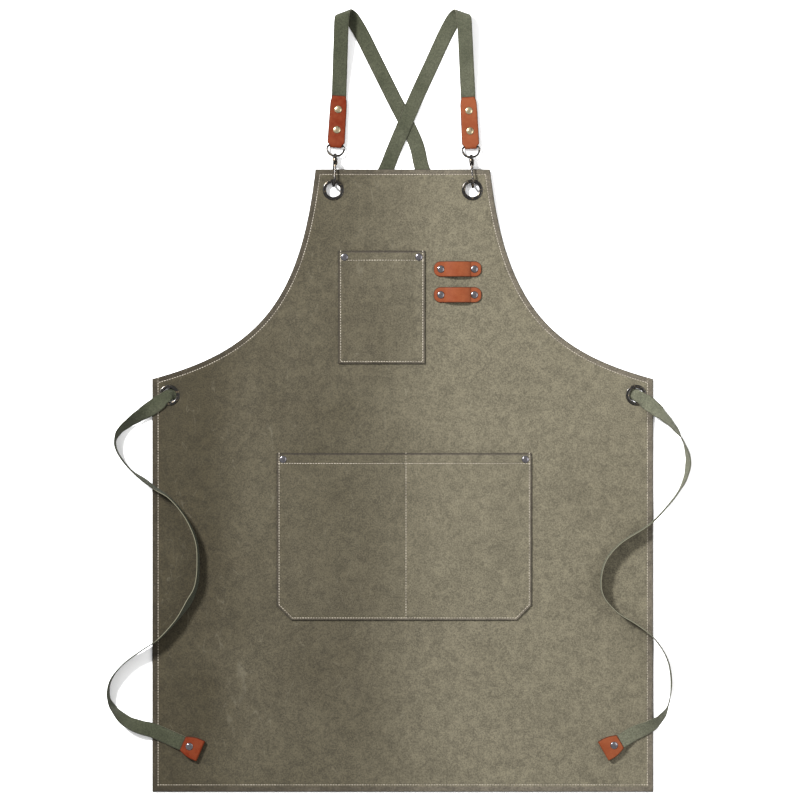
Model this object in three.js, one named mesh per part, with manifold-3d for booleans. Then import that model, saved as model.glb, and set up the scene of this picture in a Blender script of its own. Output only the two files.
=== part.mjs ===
// A cross-back work apron of waxed canvas, lying face up on a flat surface.
// Millimetres. X runs to the right of the apron as seen from above, Y towards its bib, Z up from the surface.
// The origin is the middle of the bottom hem's underside.
import * as THREE from 'three';
import { mergeVertices } from 'three/addons/utils/BufferGeometryUtils.js';
import Module from 'manifold-3d';

const wasm = await Module();
wasm.setup();

// Canvas panel
const panelWidth = 680;
const panelHeight = 845;
const bibWidth = 237;
const shoulderHeight = 560.6;
const armholeShoulderAngle = 15;
const armholeBibAngle = 6.5;
const clothThickness = 1;
const hemWidth = 11;
const hemThickness = 2;
const clearance = 0.3;

// Eyelets
const eyeletHoleRadius = 9.6;
const eyeletFlangeRadius = 14.2;
const eyeletBackRadius = 11.7;
const eyeletTubeWall = 0.8;
const eyeletFlangeThickness = 0.8;
const bibEyeletFromEdge = 24.2;
const bibEyeletFromTop = 28;
const sideEyeletFromEdge = 23;
const sideEyeletFromCorner = 22.1;

// Pockets
const chestPocketWidth = 118;
const chestPocketHeight = 153.5;
const chestPocketCentre = -28.5;
const chestPocketFromTop = 264;
const chestPocketBulge = 7.2;
const hipPocketWidth = 346;
const hipPocketHeight = 227;
const hipPocketCentre = 2;
const hipPocketFromBottom = 233;
const hipPocketCorner = 20;
const hipPocketBulge = 7.6;
const pocketHemWidth = 14;
const pocketHemThickness = 0.8;
const pocketTurnWidth = 9;
const pocketRivetInset = 8.5;

// Leather keeper loops
const keeperLength = 65;
const keeperWidth = 21;
const keeperRivetSpacing = 45.5;
const keeperPitch = 35;
const keeperCentre = 74.5;
const keeperFromTop = 135.3;
const keeperArch = 6;
const leatherThickness = 1.6;

// Webbing
const strapWidth = 20;
const strapThickness = 1.5;
const strapReach = 212;
const strapFoldRadius = 8;
const strapPinch = 1.9;
const tieSwing = 82;
const tieDrop = 483;

// Leather tabs, bails and hooks
const tabLength = 71;
const tabWidth = 24;
const tabRivetSpacing = 27.6;
const bailWidth = 25.5;
const bailWire = 3;
const bailDrop = 11;
const hookLength = 43;
const hookWire = 3.5;
const hookOpening = 17.45;
const swivelHeight = 8;
const barrelRadius = 3.5;
const gateWire = 2.6;
const gatePinRadius = 0.8;

// Leather tips of the ties
const tipLength = 27;
const tipWidth = 30;
const tipRivetFromFold = 17;

// Rivets
const rivetCapRadius = 5;
const rivetCapHeight = 1.7;
const rivetBackRadius = 4;
const rivetBackHeight = 1.2;
const rivetPostRadius = 1.4;

// Worked out from the sizes above
const panelHalf = panelWidth / 2;
const bibHalf = bibWidth / 2;
const armholeDrop = panelHeight - shoulderHeight;
const sheetTop = hemThickness + clothThickness;
const bibEyelet = new THREE.Vector2(bibHalf - bibEyeletFromEdge, panelHeight - bibEyeletFromTop);
const sideEyelet = new THREE.Vector2(panelHalf - sideEyeletFromEdge, shoulderHeight - sideEyeletFromCorner);
const eyeletCutRadius = eyeletHoleRadius + eyeletTubeWall + clearance;
const rivetCutRadius = rivetPostRadius + clearance;
const degrees = Math.PI / 180;

const canvas = new THREE.MeshStandardMaterial({ color: 0x7d786a, roughness: 0.9, metalness: 0 });
const webbing = new THREE.MeshStandardMaterial({ color: 0x6c7062, roughness: 0.95, metalness: 0 });
const leather = new THREE.MeshStandardMaterial({ color: 0xb0502f, roughness: 0.6, metalness: 0 });
const darkNickel = new THREE.MeshStandardMaterial({ color: 0x5a5856, roughness: 0.35, metalness: 0.9 });
const brass = new THREE.MeshStandardMaterial({ color: 0xb59a66, roughness: 0.35, metalness: 0.9 });

const apron = new THREE.Group();
apron.position.y = -hemWidth / 2;

function addPiece(name, geometry, material, parent = apron) {
  const mesh = new THREE.Mesh(geometry, material);
  mesh.name = name;
  parent.add(mesh);
}

// A closed geometry from points and triangles, turned so that its faces point outwards
function closedGeometry(points, triangles) {
  let volume = 0;
  for (const [a, b, c] of triangles) {
    volume += points[a].dot(points[b].clone().cross(points[c]));
  }
  const index = triangles.flatMap(([a, b, c]) => (volume > 0 ? [a, b, c] : [a, c, b]));
  const geometry = new THREE.BufferGeometry();
  geometry.setAttribute('position', new THREE.Float32BufferAttribute(points.flatMap((p) => [p.x, p.y, p.z]), 3));
  geometry.setIndex(index);
  return geometry;
}

function mergedShape(geometry) {
  const shape = geometry.clone();
  shape.deleteAttribute('normal');
  shape.deleteAttribute('uv');
  return mergeVertices(shape, 1e-4);
}

function solidOf(geometry) {
  const shape = mergedShape(geometry);
  return new wasm.Manifold(new wasm.Mesh({
    numProp: 3,
    vertProperties: new Float32Array(shape.attributes.position.array),
    triVerts: new Uint32Array(shape.index.array),
  }));
}

function geometryOf(solid) {
  const mesh = solid.getMesh();
  const geometry = new THREE.BufferGeometry();
  geometry.setAttribute('position', new THREE.BufferAttribute(new Float32Array(mesh.vertProperties), 3));
  geometry.setIndex([...mesh.triVerts]);
  return geometry;
}

function join(...geometries) {
  return geometryOf(geometries.map(solidOf).reduce((whole, next) => whole.add(next)));
}

function cut(geometry, tools) {
  return geometryOf(tools.map(solidOf).reduce((whole, tool) => whole.subtract(tool), solidOf(geometry)));
}

// An upright round cutter through everything at (x, y)
function upright(x, y, radius, sides) {
  const height = 120;
  return new THREE.CylinderGeometry(radius, radius, height, sides).rotateX(Math.PI / 2).translate(x, y, 0);
}

function turned(profile, segments) {
  return new THREE.LatheGeometry(profile.map(([radius, height]) => new THREE.Vector2(radius, height)), segments);
}

function smooth(value) {
  const t = Math.min(Math.max(value, 0), 1);
  return t * t * (3 - 2 * t);
}

// How far the panel rises above the surface: flat over each thing below it, then falling away to nothing
const hookRise = { name: 'hook below a bib eyelet', rise: hookWire + 3 * clearance, flat: 24, reach: 78 };
const strapRise = { name: 'strap below the top hem', rise: strapThickness + 2 * clearance, flat: 20, reach: 62 };
const eyeletRise = { name: 'strap below a side eyelet', rise: 1.2, flat: 34, reach: 100 };
const strapUnderHem = { left: -0.192 * bibHalf, right: 0.226 * bibHalf };
const rises = [
  { ...hookRise, x: -bibEyelet.x, y: bibEyelet.y },
  { ...hookRise, x: bibEyelet.x, y: bibEyelet.y },
  { ...strapRise, x: strapUnderHem.left, y: panelHeight },
  { ...strapRise, x: strapUnderHem.right, y: panelHeight },
  { ...eyeletRise, x: -sideEyelet.x, y: sideEyelet.y },
  { ...eyeletRise, x: sideEyelet.x, y: sideEyelet.y },
];

function lift(x, y) {
  return Math.max(...rises.map(({ x: cx, y: cy, rise, flat, reach }) => {
    const away = Math.hypot(x - cx, y - cy);
    return rise * smooth((reach - away) / (reach - flat));
  }));
}

// The outline of the right armhole from the shoulder corner up to the corner of the bib
function armhole() {
  const corner = new THREE.Vector2(panelHalf, shoulderHeight);
  const top = new THREE.Vector2(bibHalf, panelHeight);
  const lowHandle = 0.66 * (panelHalf - bibHalf);
  const highHandle = 0.647 * armholeDrop;
  const low = armholeShoulderAngle * degrees;
  const high = armholeBibAngle * degrees;
  return new THREE.CubicBezierCurve(
    corner,
    new THREE.Vector2(corner.x - lowHandle * Math.cos(low), corner.y + lowHandle * Math.sin(low)),
    new THREE.Vector2(top.x + highHandle * Math.sin(high), top.y - highHandle * Math.cos(high)),
    top,
  );
}

// Each row of the panel's grid: the outer edge and, a hem's width inside it, the inner edge of the hem
function panelRows() {
  const rows = [];
  const inner = panelHalf - hemWidth;
  const level = (y) => rows.push({ xIn: inner, yIn: y, xOut: panelHalf, yOut: y });
  level(0);
  level(hemWidth);
  for (const share of [0.17, 0.34, 0.5, 0.66, 0.8]) {
    level(share * shoulderHeight);
  }
  level(sideEyelet.y - 24);
  const angle = armholeShoulderAngle * degrees;
  const along = (hemWidth - hemWidth * Math.sin(angle)) / Math.cos(angle);
  rows.push({
    xIn: inner,
    yIn: shoulderHeight - hemWidth * Math.cos(angle) + along * Math.sin(angle),
    xOut: panelHalf,
    yOut: shoulderHeight,
  });
  const curve = armhole();
  for (const t of [0.08, 0.18, 0.29, 0.41, 0.54, 0.67, 0.79, 0.88, 0.94]) {
    const edge = curve.getPoint(t);
    const tangent = curve.getTangent(t);
    rows.push({
      xIn: edge.x - hemWidth * tangent.y,
      yIn: edge.y + hemWidth * tangent.x,
      xOut: edge.x,
      yOut: edge.y,
    });
  }
  const nearTop = bibHalf + hemWidth * Math.tan(armholeBibAngle * degrees);
  rows.push({ xIn: nearTop - hemWidth, yIn: panelHeight - hemWidth, xOut: nearTop, yOut: panelHeight - hemWidth });
  rows.push({ xIn: bibHalf - hemWidth, yIn: panelHeight, xOut: bibHalf, yOut: panelHeight });
  return rows;
}

// A sheet over a grid of (x, y) points, whose turned edges hang below it.
// surface(x, y) gives the height of the turned edges' underside.
function sewnSheet(grid, surface, turnedDepth, thickness, isTurned) {
  const points = [];
  const triangles = [];
  const layers = { low: 0, high: turnedDepth, top: turnedDepth + thickness };
  const seen = new Map();
  const corner = (i, j, layer) => {
    const key = `${i},${j},${layer}`;
    if (!seen.has(key)) {
      const { x, y } = grid[i][j];
      seen.set(key, points.push(new THREE.Vector3(x, y, surface(x, y) + layers[layer])) - 1);
    }
    return seen.get(key);
  };
  const quad = (a, b, c, d) => triangles.push([a, b, c], [a, c, d]);
  const rows = grid.length - 1;
  const columns = grid[0].length - 1;
  const inside = (i, j) => i >= 0 && j >= 0 && i < rows && j < columns;
  for (let i = 0; i < rows; i += 1) {
    for (let j = 0; j < columns; j += 1) {
      const under = isTurned(i, j) ? 'low' : 'high';
      const ring = [[i, j], [i, j + 1], [i + 1, j + 1], [i + 1, j]];
      const neighbours = [[i - 1, j], [i, j + 1], [i + 1, j], [i, j - 1]];
      quad(...ring.map(([a, b]) => corner(a, b, 'top')));
      quad(...ring.map(([a, b]) => corner(a, b, under)).reverse());
      neighbours.forEach(([ni, nj], side) => {
        const [a, b] = [ring[side], ring[(side + 1) % 4]];
        if (!inside(ni, nj)) {
          quad(corner(...a, under), corner(...b, under), corner(...b, 'top'), corner(...a, 'top'));
        } else if (under === 'low' && !isTurned(ni, nj)) {
          quad(corner(...a, 'low'), corner(...b, 'low'), corner(...b, 'high'), corner(...a, 'high'));
        }
      });
    }
  }
  return closedGeometry(points, triangles);
}

// Where every rivet stands, with the heights of the stack that it holds
const pocketRivets = [];
for (const [pocket, centre, width, top] of [
  ['chest_pocket', chestPocketCentre, chestPocketWidth, panelHeight - chestPocketFromTop + chestPocketHeight],
  ['hip_pocket', hipPocketCentre, hipPocketWidth, hipPocketFromBottom + hipPocketHeight],
]) {
  for (const [side, sign] of [['left', -1], ['right', 1]]) {
    const x = centre + sign * (width / 2 - pocketRivetInset);
    pocketRivets.push({ name: `${pocket}_rivet_${side}`, x, y: top - pocketRivetInset });
  }
}
const keeperRivets = [];
for (const [loop, below] of [['upper_keeper', 0], ['lower_keeper', keeperPitch]]) {
  for (const [side, sign] of [['left', -1], ['right', 1]]) {
    const x = keeperCentre + sign * keeperRivetSpacing / 2;
    keeperRivets.push({ name: `${loop}_rivet_${side}`, x, y: panelHeight - keeperFromTop - below });
  }
}

function mainPanel() {
  const shares = [0, 0.12, 0.24, 0.36, 0.48, 0.6, 0.7, 0.8, 0.91, 1];
  const grid = panelRows().map(({ xIn, yIn, xOut, yOut }) => {
    const right = shares.map((share) => new THREE.Vector2(share * xIn, yIn));
    right.push(new THREE.Vector2(xOut, yOut));
    const left = right.slice(1).reverse().map((p) => new THREE.Vector2(-p.x, p.y));
    return [...left, ...right];
  });
  const rows = grid.length - 1;
  const columns = grid[0].length - 1;
  const isHem = (i, j) => i === 0 || i === rows - 1 || j === 0 || j === columns - 1;
  const holes = [bibEyelet, sideEyelet].flatMap(({ x, y }) => [
    upright(-x, y, eyeletCutRadius, 16),
    upright(x, y, eyeletCutRadius, 16),
  ]);
  for (const { x, y } of [...pocketRivets, ...keeperRivets]) {
    holes.push(upright(x, y, rivetCutRadius, 8));
  }
  return cut(sewnSheet(grid, lift, hemThickness, clothThickness, isHem), holes);
}

// A patch pocket, seated on the panel at its sides and foot and standing open at its mouth.
// dividers are the shares of the width where a seam holds it down.
function patchPocket({ centre, foot, width, height, corner, bulge, dividers, rivets }) {
  const turnShare = pocketTurnWidth / width;
  const flatShare = (pocketRivetInset + rivetCapRadius + 1) / width;
  const seams = [flatShare, ...dividers, 1 - flatShare];
  const across = [0, turnShare];
  for (let part = 1; part < seams.length; part += 1) {
    const [from, to] = [seams[part - 1], seams[part]];
    for (const share of [0, 0.15, 0.38, 0.62, 0.85]) {
      across.push(from + share * (to - from));
    }
  }
  across.push(1 - flatShare, 1 - turnShare, 1);
  const up = [0, 0.04, 0.14, 0.3, 0.5, 0.72, 1 - pocketHemWidth / height, 1];
  const hold = (share) => {
    const part = seams.findIndex((seam) => share <= seam);
    if (part < 1) {
      return 0;
    }
    const [from, to] = [seams[part - 1], seams[part]];
    const u = Math.min(Math.max((share - from) / (to - from), 0), 1);
    return Math.sin(Math.PI * u) ** 0.7;
  };
  const grid = up.map((v) => across.map((u) => {
    const inset = Math.max(0, corner - v * height);
    return new THREE.Vector2(centre + (u - 0.5) * (width - 2 * inset), foot + v * height);
  }));
  const surface = (x, y) => {
    const u = (x - centre) / width + 0.5;
    const v = (y - foot) / height;
    return sheetTop + clearance + lift(x, y) + bulge * hold(u) * Math.sin(Math.min(v, 1) * Math.PI / 2) ** 0.9;
  };
  const isTurned = (i, j) => i === 0 || i === up.length - 2 || j === 0 || j === across.length - 2;
  const sheet = sewnSheet(grid, surface, pocketHemThickness, clothThickness, isTurned);
  return cut(sheet, rivets.map(({ x, y }) => upright(x, y, rivetCutRadius, 8)));
}

// A strip of even thickness through stations. Each station has its centre, its half width,
// the unit direction across it and the unit direction of its face. bend(share) lifts a column of it.
// A station on a roll gives onRoll(share) instead: the place and the face of each of its columns.
function strip(stations, thickness, columns = [-1, 1]) {
  const points = [];
  for (const { centre, halfWidth, across, face, bend = () => 0, onRoll } of stations) {
    for (const side of [1, -1]) {
      for (const share of columns) {
        const place = onRoll ? onRoll(share) : { point: centre.clone().addScaledVector(across, share * halfWidth), face };
        points.push(place.point.addScaledVector(place.face, bend(share) + side * thickness / 2));
      }
    }
  }
  const count = columns.length;
  const at = (station, side, column) => station * 2 * count + side * count + column;
  const triangles = [];
  const quad = (a, b, c, d) => triangles.push([a, b, c], [a, c, d]);
  const last = stations.length - 1;
  for (let s = 0; s < last; s += 1) {
    for (let c = 0; c < count - 1; c += 1) {
      quad(at(s, 0, c), at(s, 0, c + 1), at(s + 1, 0, c + 1), at(s + 1, 0, c));
      quad(at(s, 1, c), at(s + 1, 1, c), at(s + 1, 1, c + 1), at(s, 1, c + 1));
    }
    quad(at(s, 0, 0), at(s + 1, 0, 0), at(s + 1, 1, 0), at(s, 1, 0));
    quad(at(s, 0, count - 1), at(s, 1, count - 1), at(s + 1, 1, count - 1), at(s + 1, 0, count - 1));
  }
  for (let c = 0; c < count - 1; c += 1) {
    quad(at(0, 0, c), at(0, 1, c), at(0, 1, c + 1), at(0, 0, c + 1));
    quad(at(last, 0, c), at(last, 0, c + 1), at(last, 1, c + 1), at(last, 1, c));
  }
  return closedGeometry(points, triangles);
}

const acrossX = new THREE.Vector3(1, 0, 0);
const acrossY = new THREE.Vector3(0, 1, 0);
const upwards = new THREE.Vector3(0, 0, 1);

// A keeper loop: flat at its riveted ends, arched between them
function keeperLoop(y, rivets) {
  const seat = sheetTop + clearance + leatherThickness / 2;
  const endRadius = 0.45 * keeperWidth;
  const archStart = (keeperRivetSpacing / 2 - rivetCapRadius) / (keeperLength / 2);
  const shares = [-1, -0.96, -0.88, -0.76, -archStart, -0.44, -0.27, 0, 0.27, 0.44, archStart, 0.76, 0.88, 0.96, 1];
  const stations = shares.map((share) => {
    const x = share * keeperLength / 2;
    const past = Math.max(0, Math.abs(x) - (keeperLength / 2 - endRadius));
    const rounded = endRadius - Math.sqrt(Math.max(0, endRadius ** 2 - past ** 2));
    const arch = Math.abs(share) < archStart ? Math.cos((share / archStart) * Math.PI / 2) ** 0.55 : 0;
    return {
      centre: new THREE.Vector3(keeperCentre + x, y, seat + keeperArch * arch),
      halfWidth: keeperWidth / 2 - rounded,
      across: acrossY,
      face: upwards,
    };
  });
  return cut(strip(stations, leatherThickness), rivets.map(({ x, y: ry }) => upright(x, ry, rivetCutRadius, 8)));
}

// A leather piece folded over at its foot, y = 0, with both ends at y = length.
// inside(y) is the height between its two layers; floor is the underside of its lower layer.
function foldedLeather({ length, floor, foldGap, inside, halfWidthAt, layerShares }) {
  const middle = leatherThickness / 2;
  const foldRadius = foldGap / 2 + middle;
  const foldAt = foldGap / 2 + leatherThickness;
  const lowZ = floor + middle;
  const stations = [];
  const runs = layerShares.map((share) => foldAt + share * (length - foldAt));
  const layer = (y, z, facing) => stations.push({
    centre: new THREE.Vector3(0, y, z),
    halfWidth: halfWidthAt(y / length),
    across: acrossX,
    face: new THREE.Vector3(0, 0, facing),
  });
  for (const y of [...runs].reverse()) {
    layer(y, lowZ + leatherThickness + inside(y), 1);
  }
  for (const turn of [0.2, 0.4, 0.6, 0.8]) {
    const angle = turn * Math.PI;
    stations.push({
      centre: new THREE.Vector3(0, foldAt - foldRadius * Math.sin(angle), lowZ + foldRadius * (1 + Math.cos(angle))),
      halfWidth: halfWidthAt(0),
      across: acrossX,
      face: new THREE.Vector3(0, -Math.sin(angle), Math.cos(angle)),
    });
  }
  for (const y of runs) {
    layer(y, lowZ, -1);
  }
  return strip(stations, leatherThickness);
}

// A rivet from the underside of its stack to the top of it
function rivet(x, y, under, over) {
  const back = under - clearance;
  const front = over + clearance;
  const profile = [
    [0, back - rivetBackHeight],
    [rivetBackRadius, back - rivetBackHeight],
    [rivetBackRadius, back],
    [rivetPostRadius, back],
    [rivetPostRadius, front],
    [rivetCapRadius, front],
    [rivetCapRadius * 0.8, front + rivetCapHeight * 0.7],
    [0, front + rivetCapHeight],
  ];
  return turned(profile, 8).rotateX(Math.PI / 2).translate(x, y, 0);
}

// An eyelet clenched through the panel: a tube with a rolled flange above and below
function eyelet(x, y) {
  const under = lift(x, y) + hemThickness;
  const bottom = under - clearance - eyeletFlangeThickness;
  const top = under + clothThickness + clearance;
  const tube = eyeletHoleRadius + eyeletTubeWall;
  const profile = [
    [eyeletHoleRadius, bottom],
    [eyeletBackRadius, bottom],
    [eyeletBackRadius, bottom + eyeletFlangeThickness],
    [tube, bottom + eyeletFlangeThickness],
    [tube, top],
    [eyeletFlangeRadius, top],
    [0.5 * (eyeletHoleRadius + eyeletFlangeRadius), top + eyeletFlangeThickness],
    [eyeletHoleRadius, top + 0.7 * eyeletFlangeThickness],
    [eyeletHoleRadius, bottom],
  ];
  return turned(profile, 16).rotateX(Math.PI / 2).translate(x, y, 0);
}

// The two tabs, as they lie: the middle of each fold, the lean of the tab and the roll of its hook
const tabSides = [
  { side: 'left', sign: -1, x: -0.767 * bibHalf, y: panelHeight + 29.1, lean: -3.57, hookRoll: 8 },
  { side: 'right', sign: 1, x: 0.78 * bibHalf, y: panelHeight + 27.4, lean: 3.0, hookRoll: 0 },
];
const tabFloor = rivetBackHeight + clearance;
const tabSpace = strapThickness + 2 * clearance;
const tabBarSpace = bailWire + 2 * clearance;
const barHeight = tabFloor + leatherThickness + tabBarSpace / 2;
const barAt = leatherThickness + tabBarSpace / 2;
const tabStrapHeight = tabFloor + leatherThickness + tabSpace / 2;
const tabUpperRivetAt = tabLength - 18.8;
const tabRivetsAt = [tabUpperRivetAt - tabRivetSpacing, tabUpperRivetAt];

function strapTab() {
  const taper = 5 * bailWire;
  const shape = foldedLeather({
    length: tabLength,
    floor: tabFloor,
    foldGap: tabBarSpace,
    inside: (y) => tabSpace + (tabBarSpace - tabSpace) * smooth(1 - (y - barAt) / taper),
    halfWidthAt: (share) => {
      const betweenArms = bailWidth / 2 - bailWire - 5 * clearance;
      const corner = Math.max(0, (share - 0.83) / 0.17);
      const spread = smooth((share * tabLength - barAt) / bailWire);
      const side = 0.5 * (tabWidth - 1.6 * share) - 0.1 * tabWidth * corner ** 2;
      return betweenArms + (side - betweenArms) * spread;
    },
    layerShares: [0, 0.045, 0.1, 0.2, 0.5, 0.83, 0.92, 1],
  });
  return cut(shape, tabRivetsAt.map((y) => upright(0, y, rivetCutRadius, 8)));
}

// The D shaped bail, in the frame of its tab: a straight bar inside the fold and a boss for the hook's stem
function hookBail() {
  const half = (bailWidth - bailWire) / 2;
  const heightAt = (y) => barHeight + (swivelHeight - barHeight) * (barAt - y) / (barAt + bailDrop);
  const outline = [
    { x: 0, y: barAt },
    { x: 0.75, y: barAt },
    { x: 1, y: barAt - 0.2 * (barAt + bailDrop) },
    { x: 0.97, y: -0.4 * bailDrop },
    { x: 0.68, y: -0.82 * bailDrop },
    { x: 0.3, y: -0.97 * bailDrop },
    { x: 0, y: -bailDrop },
  ];
  const right = outline.map(({ x, y }) => new THREE.Vector3(x * half, y, heightAt(y)));
  const left = right.slice(1, -1).reverse().map((p) => new THREE.Vector3(-p.x, p.y, p.z));
  const loop = new THREE.CatmullRomCurve3([...right, ...left], true);
  const wire = new THREE.TubeGeometry(loop, 28, bailWire / 2, 6, true);
  const bossRadius = bailWire;
  const boss = new THREE.CylinderGeometry(bossRadius, bossRadius, 4, 12).translate(0, -bailDrop, swivelHeight);
  const bore = new THREE.CylinderGeometry(stemRadius + clearance, stemRadius + clearance, 20, 12);
  return cut(join(wire, boss), [bore.translate(0, -bailDrop, swivelHeight)]);
}

// The hook, in its own frame: the stem turns on the Y axis, the hook runs down -Y and its mouth is above
const stemRadius = 1.2;
const stemHalf = 2 + clearance;
const barrelLength = 6.7;
const bendRadius = hookOpening / 2;
const spineHeight = -(swivelHeight - hookWire / 2 - clearance);
const bendCentre = new THREE.Vector2(-hookLength + hookWire / 2 + bendRadius, spineHeight + bendRadius);
const noseHeight = spineHeight + hookOpening;
const gatePin = new THREE.Vector2(-9.5, 4.6);
const gateEyeRadius = 2.2;
const gateTip = new THREE.Vector2(bendCentre.x, noseHeight - hookWire / 2 - clearance - gateWire / 2);

function rod(points, radius, steps) {
  const section = new THREE.Shape();
  section.absarc(0, 0, radius, 0, 2 * Math.PI);
  const extrudePath = new THREE.CatmullRomCurve3(points.map(([y, z]) => new THREE.Vector3(0, y, z)));
  return new THREE.ExtrudeGeometry(section, { extrudePath, steps, curveSegments: 4 });
}

function hookBody() {
  const barrelFoot = -stemHalf - barrelLength;
  const route = [
    [barrelFoot + 1.4, -0.2],
    [barrelFoot - 1.2, -2],
    [barrelFoot - 5, spineHeight + 0.7],
    [barrelFoot - 9, spineHeight],
    [bendCentre.x, spineHeight],
  ];
  for (const turn of [30, 60, 90, 120, 150, 180]) {
    const angle = turn * degrees;
    route.push([bendCentre.x - bendRadius * Math.sin(angle), bendCentre.y - bendRadius * Math.cos(angle)]);
  }
  route.push([bendCentre.x + 2.6, noseHeight - 0.1]);
  const wire = rod(route, hookWire / 2, 24);
  const swivel = turned([
    [0, barrelFoot],
    [0.8 * barrelRadius, barrelFoot],
    [barrelRadius, barrelFoot + 1],
    [barrelRadius, -stemHalf - 1],
    [0.7 * barrelRadius, -stemHalf],
    [stemRadius, -stemHalf],
    [stemRadius, stemHalf],
    [1.9 * stemRadius, stemHalf],
    [1.5 * stemRadius, stemHalf + 1.2],
    [0, stemHalf + 1.2],
  ], 14);
  const cheekWidth = gateWire + 2 * clearance + 2.6;
  const cheekTop = gatePin.y + gateEyeRadius + 0.3;
  const cheeks = new THREE.BoxGeometry(cheekWidth, 6, cheekTop).translate(0, gatePin.x, cheekTop / 2);
  const slotWidth = gateWire + 2 * clearance;
  const slotFloor = gatePin.y - gateEyeRadius - clearance;
  const slot = new THREE.BoxGeometry(slotWidth, 8, 12).translate(0, gatePin.x - 4 + gateEyeRadius + clearance, slotFloor + 6);
  const pin = new THREE.CylinderGeometry(gatePinRadius, gatePinRadius, cheekWidth - 0.2, 10).rotateZ(Math.PI / 2);
  return join(cut(join(wire, swivel, cheeks), [slot]), pin.translate(0, gatePin.x, gatePin.y));
}

function hookGate() {
  const lever = rod([[gatePin.x - 1.4, gatePin.y + 0.2], [gateTip.x, gateTip.y]], gateWire / 2, 2);
  const eye = new THREE.CylinderGeometry(gateEyeRadius, gateEyeRadius, gateWire, 14).rotateZ(Math.PI / 2);
  const bore = new THREE.CylinderGeometry(gatePinRadius + clearance, gatePinRadius + clearance, 20, 12);
  const place = [0, gatePin.x, gatePin.y];
  return cut(join(lever, eye.translate(...place)), [bore.rotateZ(Math.PI / 2).translate(...place)]);
}

// The height of whatever lies below a point of a tie: the surface, the panel or an eyelet on it
function seatBelow(x, y, margin) {
  const slope = 20;
  const outside = Math.abs(x) - panelHalf;
  const panelSeat = sheetTop + clearance + lift(Math.sign(x) * Math.min(Math.abs(x), panelHalf), y);
  const overPanel = panelSeat * smooth(1 - (outside - margin) / slope);
  const toEyelet = Math.hypot(Math.abs(x) - sideEyelet.x, y - sideEyelet.y) - eyeletFlangeRadius;
  const eyeletSeat = eyeletTop(sideEyelet.x, sideEyelet.y) + clearance;
  const overEyelet = (eyeletSeat - overPanel) * smooth(1 - (toEyelet - margin / 4) / slope);
  return overPanel + overEyelet;
}

function eyeletTop(x, y) {
  return lift(x, y) + sheetTop + clearance + eyeletFlangeThickness;
}

// The ties as they lie, from the side eyelet to the tip. out is a share of tieSwing, outwards from the eyelet,
// down a share of tieDrop below it, roll the turn of the webbing in degrees: 0 lies flat, 90 stands on edge.
const tieRoutes = {
  left: [
    { out: 0.256, down: 0.032, roll: 0 },
    { out: 0.5, down: 0.059, roll: 41 },
    { out: 0.695, down: 0.082, roll: 60 },
    { out: 0.823, down: 0.102, roll: 72 },
    { out: 0.89, down: 0.129, roll: 88 },
    { out: 0.861, down: 0.156, roll: 90 },
    { out: 0.652, down: 0.206, roll: 90 },
    { out: 0.385, down: 0.241, roll: 78 },
    { out: 0.22, down: 0.262, roll: 82 },
    { out: 0, down: 0.287, roll: 88 },
    { out: -0.262, down: 0.339, roll: 88 },
    { out: -0.451, down: 0.409, roll: 86 },
    { out: -0.483, down: 0.479, roll: 84 },
    { out: -0.451, down: 0.535, roll: 80 },
    { out: -0.329, down: 0.581, roll: 70 },
    { out: -0.098, down: 0.637, roll: 84 },
    { out: 0.195, down: 0.688, roll: 88 },
    { out: 0.439, down: 0.715, roll: 90 },
    { out: 0.793, down: 0.761, roll: 90 },
    { out: 0.976, down: 0.806, roll: 88 },
    { out: 0.996, down: 0.85, roll: 84 },
    { out: 0.915, down: 0.879, roll: 70 },
    { out: 0.715, down: 0.914, roll: 45 },
    { out: 0.476, down: 0.932, roll: 26 },
    { out: 0.28, down: 0.941, roll: 8 },
    { out: -0.012, down: 0.962, roll: 0 },
    { out: -0.527, down: 1, roll: 0 },
  ],
  right: [
    { out: 0.293, down: 0.036, roll: 20 },
    { out: 0.459, down: 0.061, roll: 52 },
    { out: 0.622, down: 0.09, roll: 68 },
    { out: 0.765, down: 0.127, roll: 90 },
    { out: 0.848, down: 0.169, roll: 104 },
    { out: 0.854, down: 0.196, roll: 108 },
    { out: 0.805, down: 0.234, roll: 100 },
    { out: 0.69, down: 0.272, roll: 90 },
    { out: 0.517, down: 0.31, roll: 90 },
    { out: 0.293, down: 0.351, roll: 90 },
    { out: 0.134, down: 0.372, roll: 90 },
    { out: -0.268, down: 0.416, roll: 90 },
    { out: -0.505, down: 0.463, roll: 90 },
    { out: -0.588, down: 0.519, roll: 90 },
    { out: -0.552, down: 0.562, roll: 90 },
    { out: -0.341, down: 0.606, roll: 90 },
    { out: 0.018, down: 0.645, roll: 90 },
    { out: 0.28, down: 0.681, roll: 90 },
    { out: 0.505, down: 0.74, roll: 90 },
    { out: 0.573, down: 0.804, roll: 90 },
    { out: 0.524, down: 0.869, roll: 84 },
    { out: 0.409, down: 0.904, roll: 60 },
    { out: 0.227, down: 0.929, roll: 30 },
    { out: -0.024, down: 0.949, roll: 6 },
    { out: -0.551, down: 1, roll: 0 },
  ],
};

// The hidden run below the panel passes outside the backs of the rivets. out is a share of the distance of the
// outermost keeper rivet from the middle, down a share of the keeper loops' distance below the top.
const outermostRivet = keeperCentre + keeperRivetSpacing / 2;
const routePastRivets = [
  { out: 0.494, down: 0.333 },
  { out: 0.864, down: 0.687 },
  { out: 1.152, down: 0.961 },
  { out: 1.275, down: 1.16 },
];

// Then it follows the armhole. out is a share of the panel's half width, down a share of the armhole's drop.
const routeRoundArmhole = [
  { out: 0.426, down: 0.668 },
  { out: 0.506, down: 0.781 },
  { out: 0.609, down: 0.89 },
  { out: 0.726, down: 0.981 },
  { out: 0.838, down: 1.041 },
];

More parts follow.
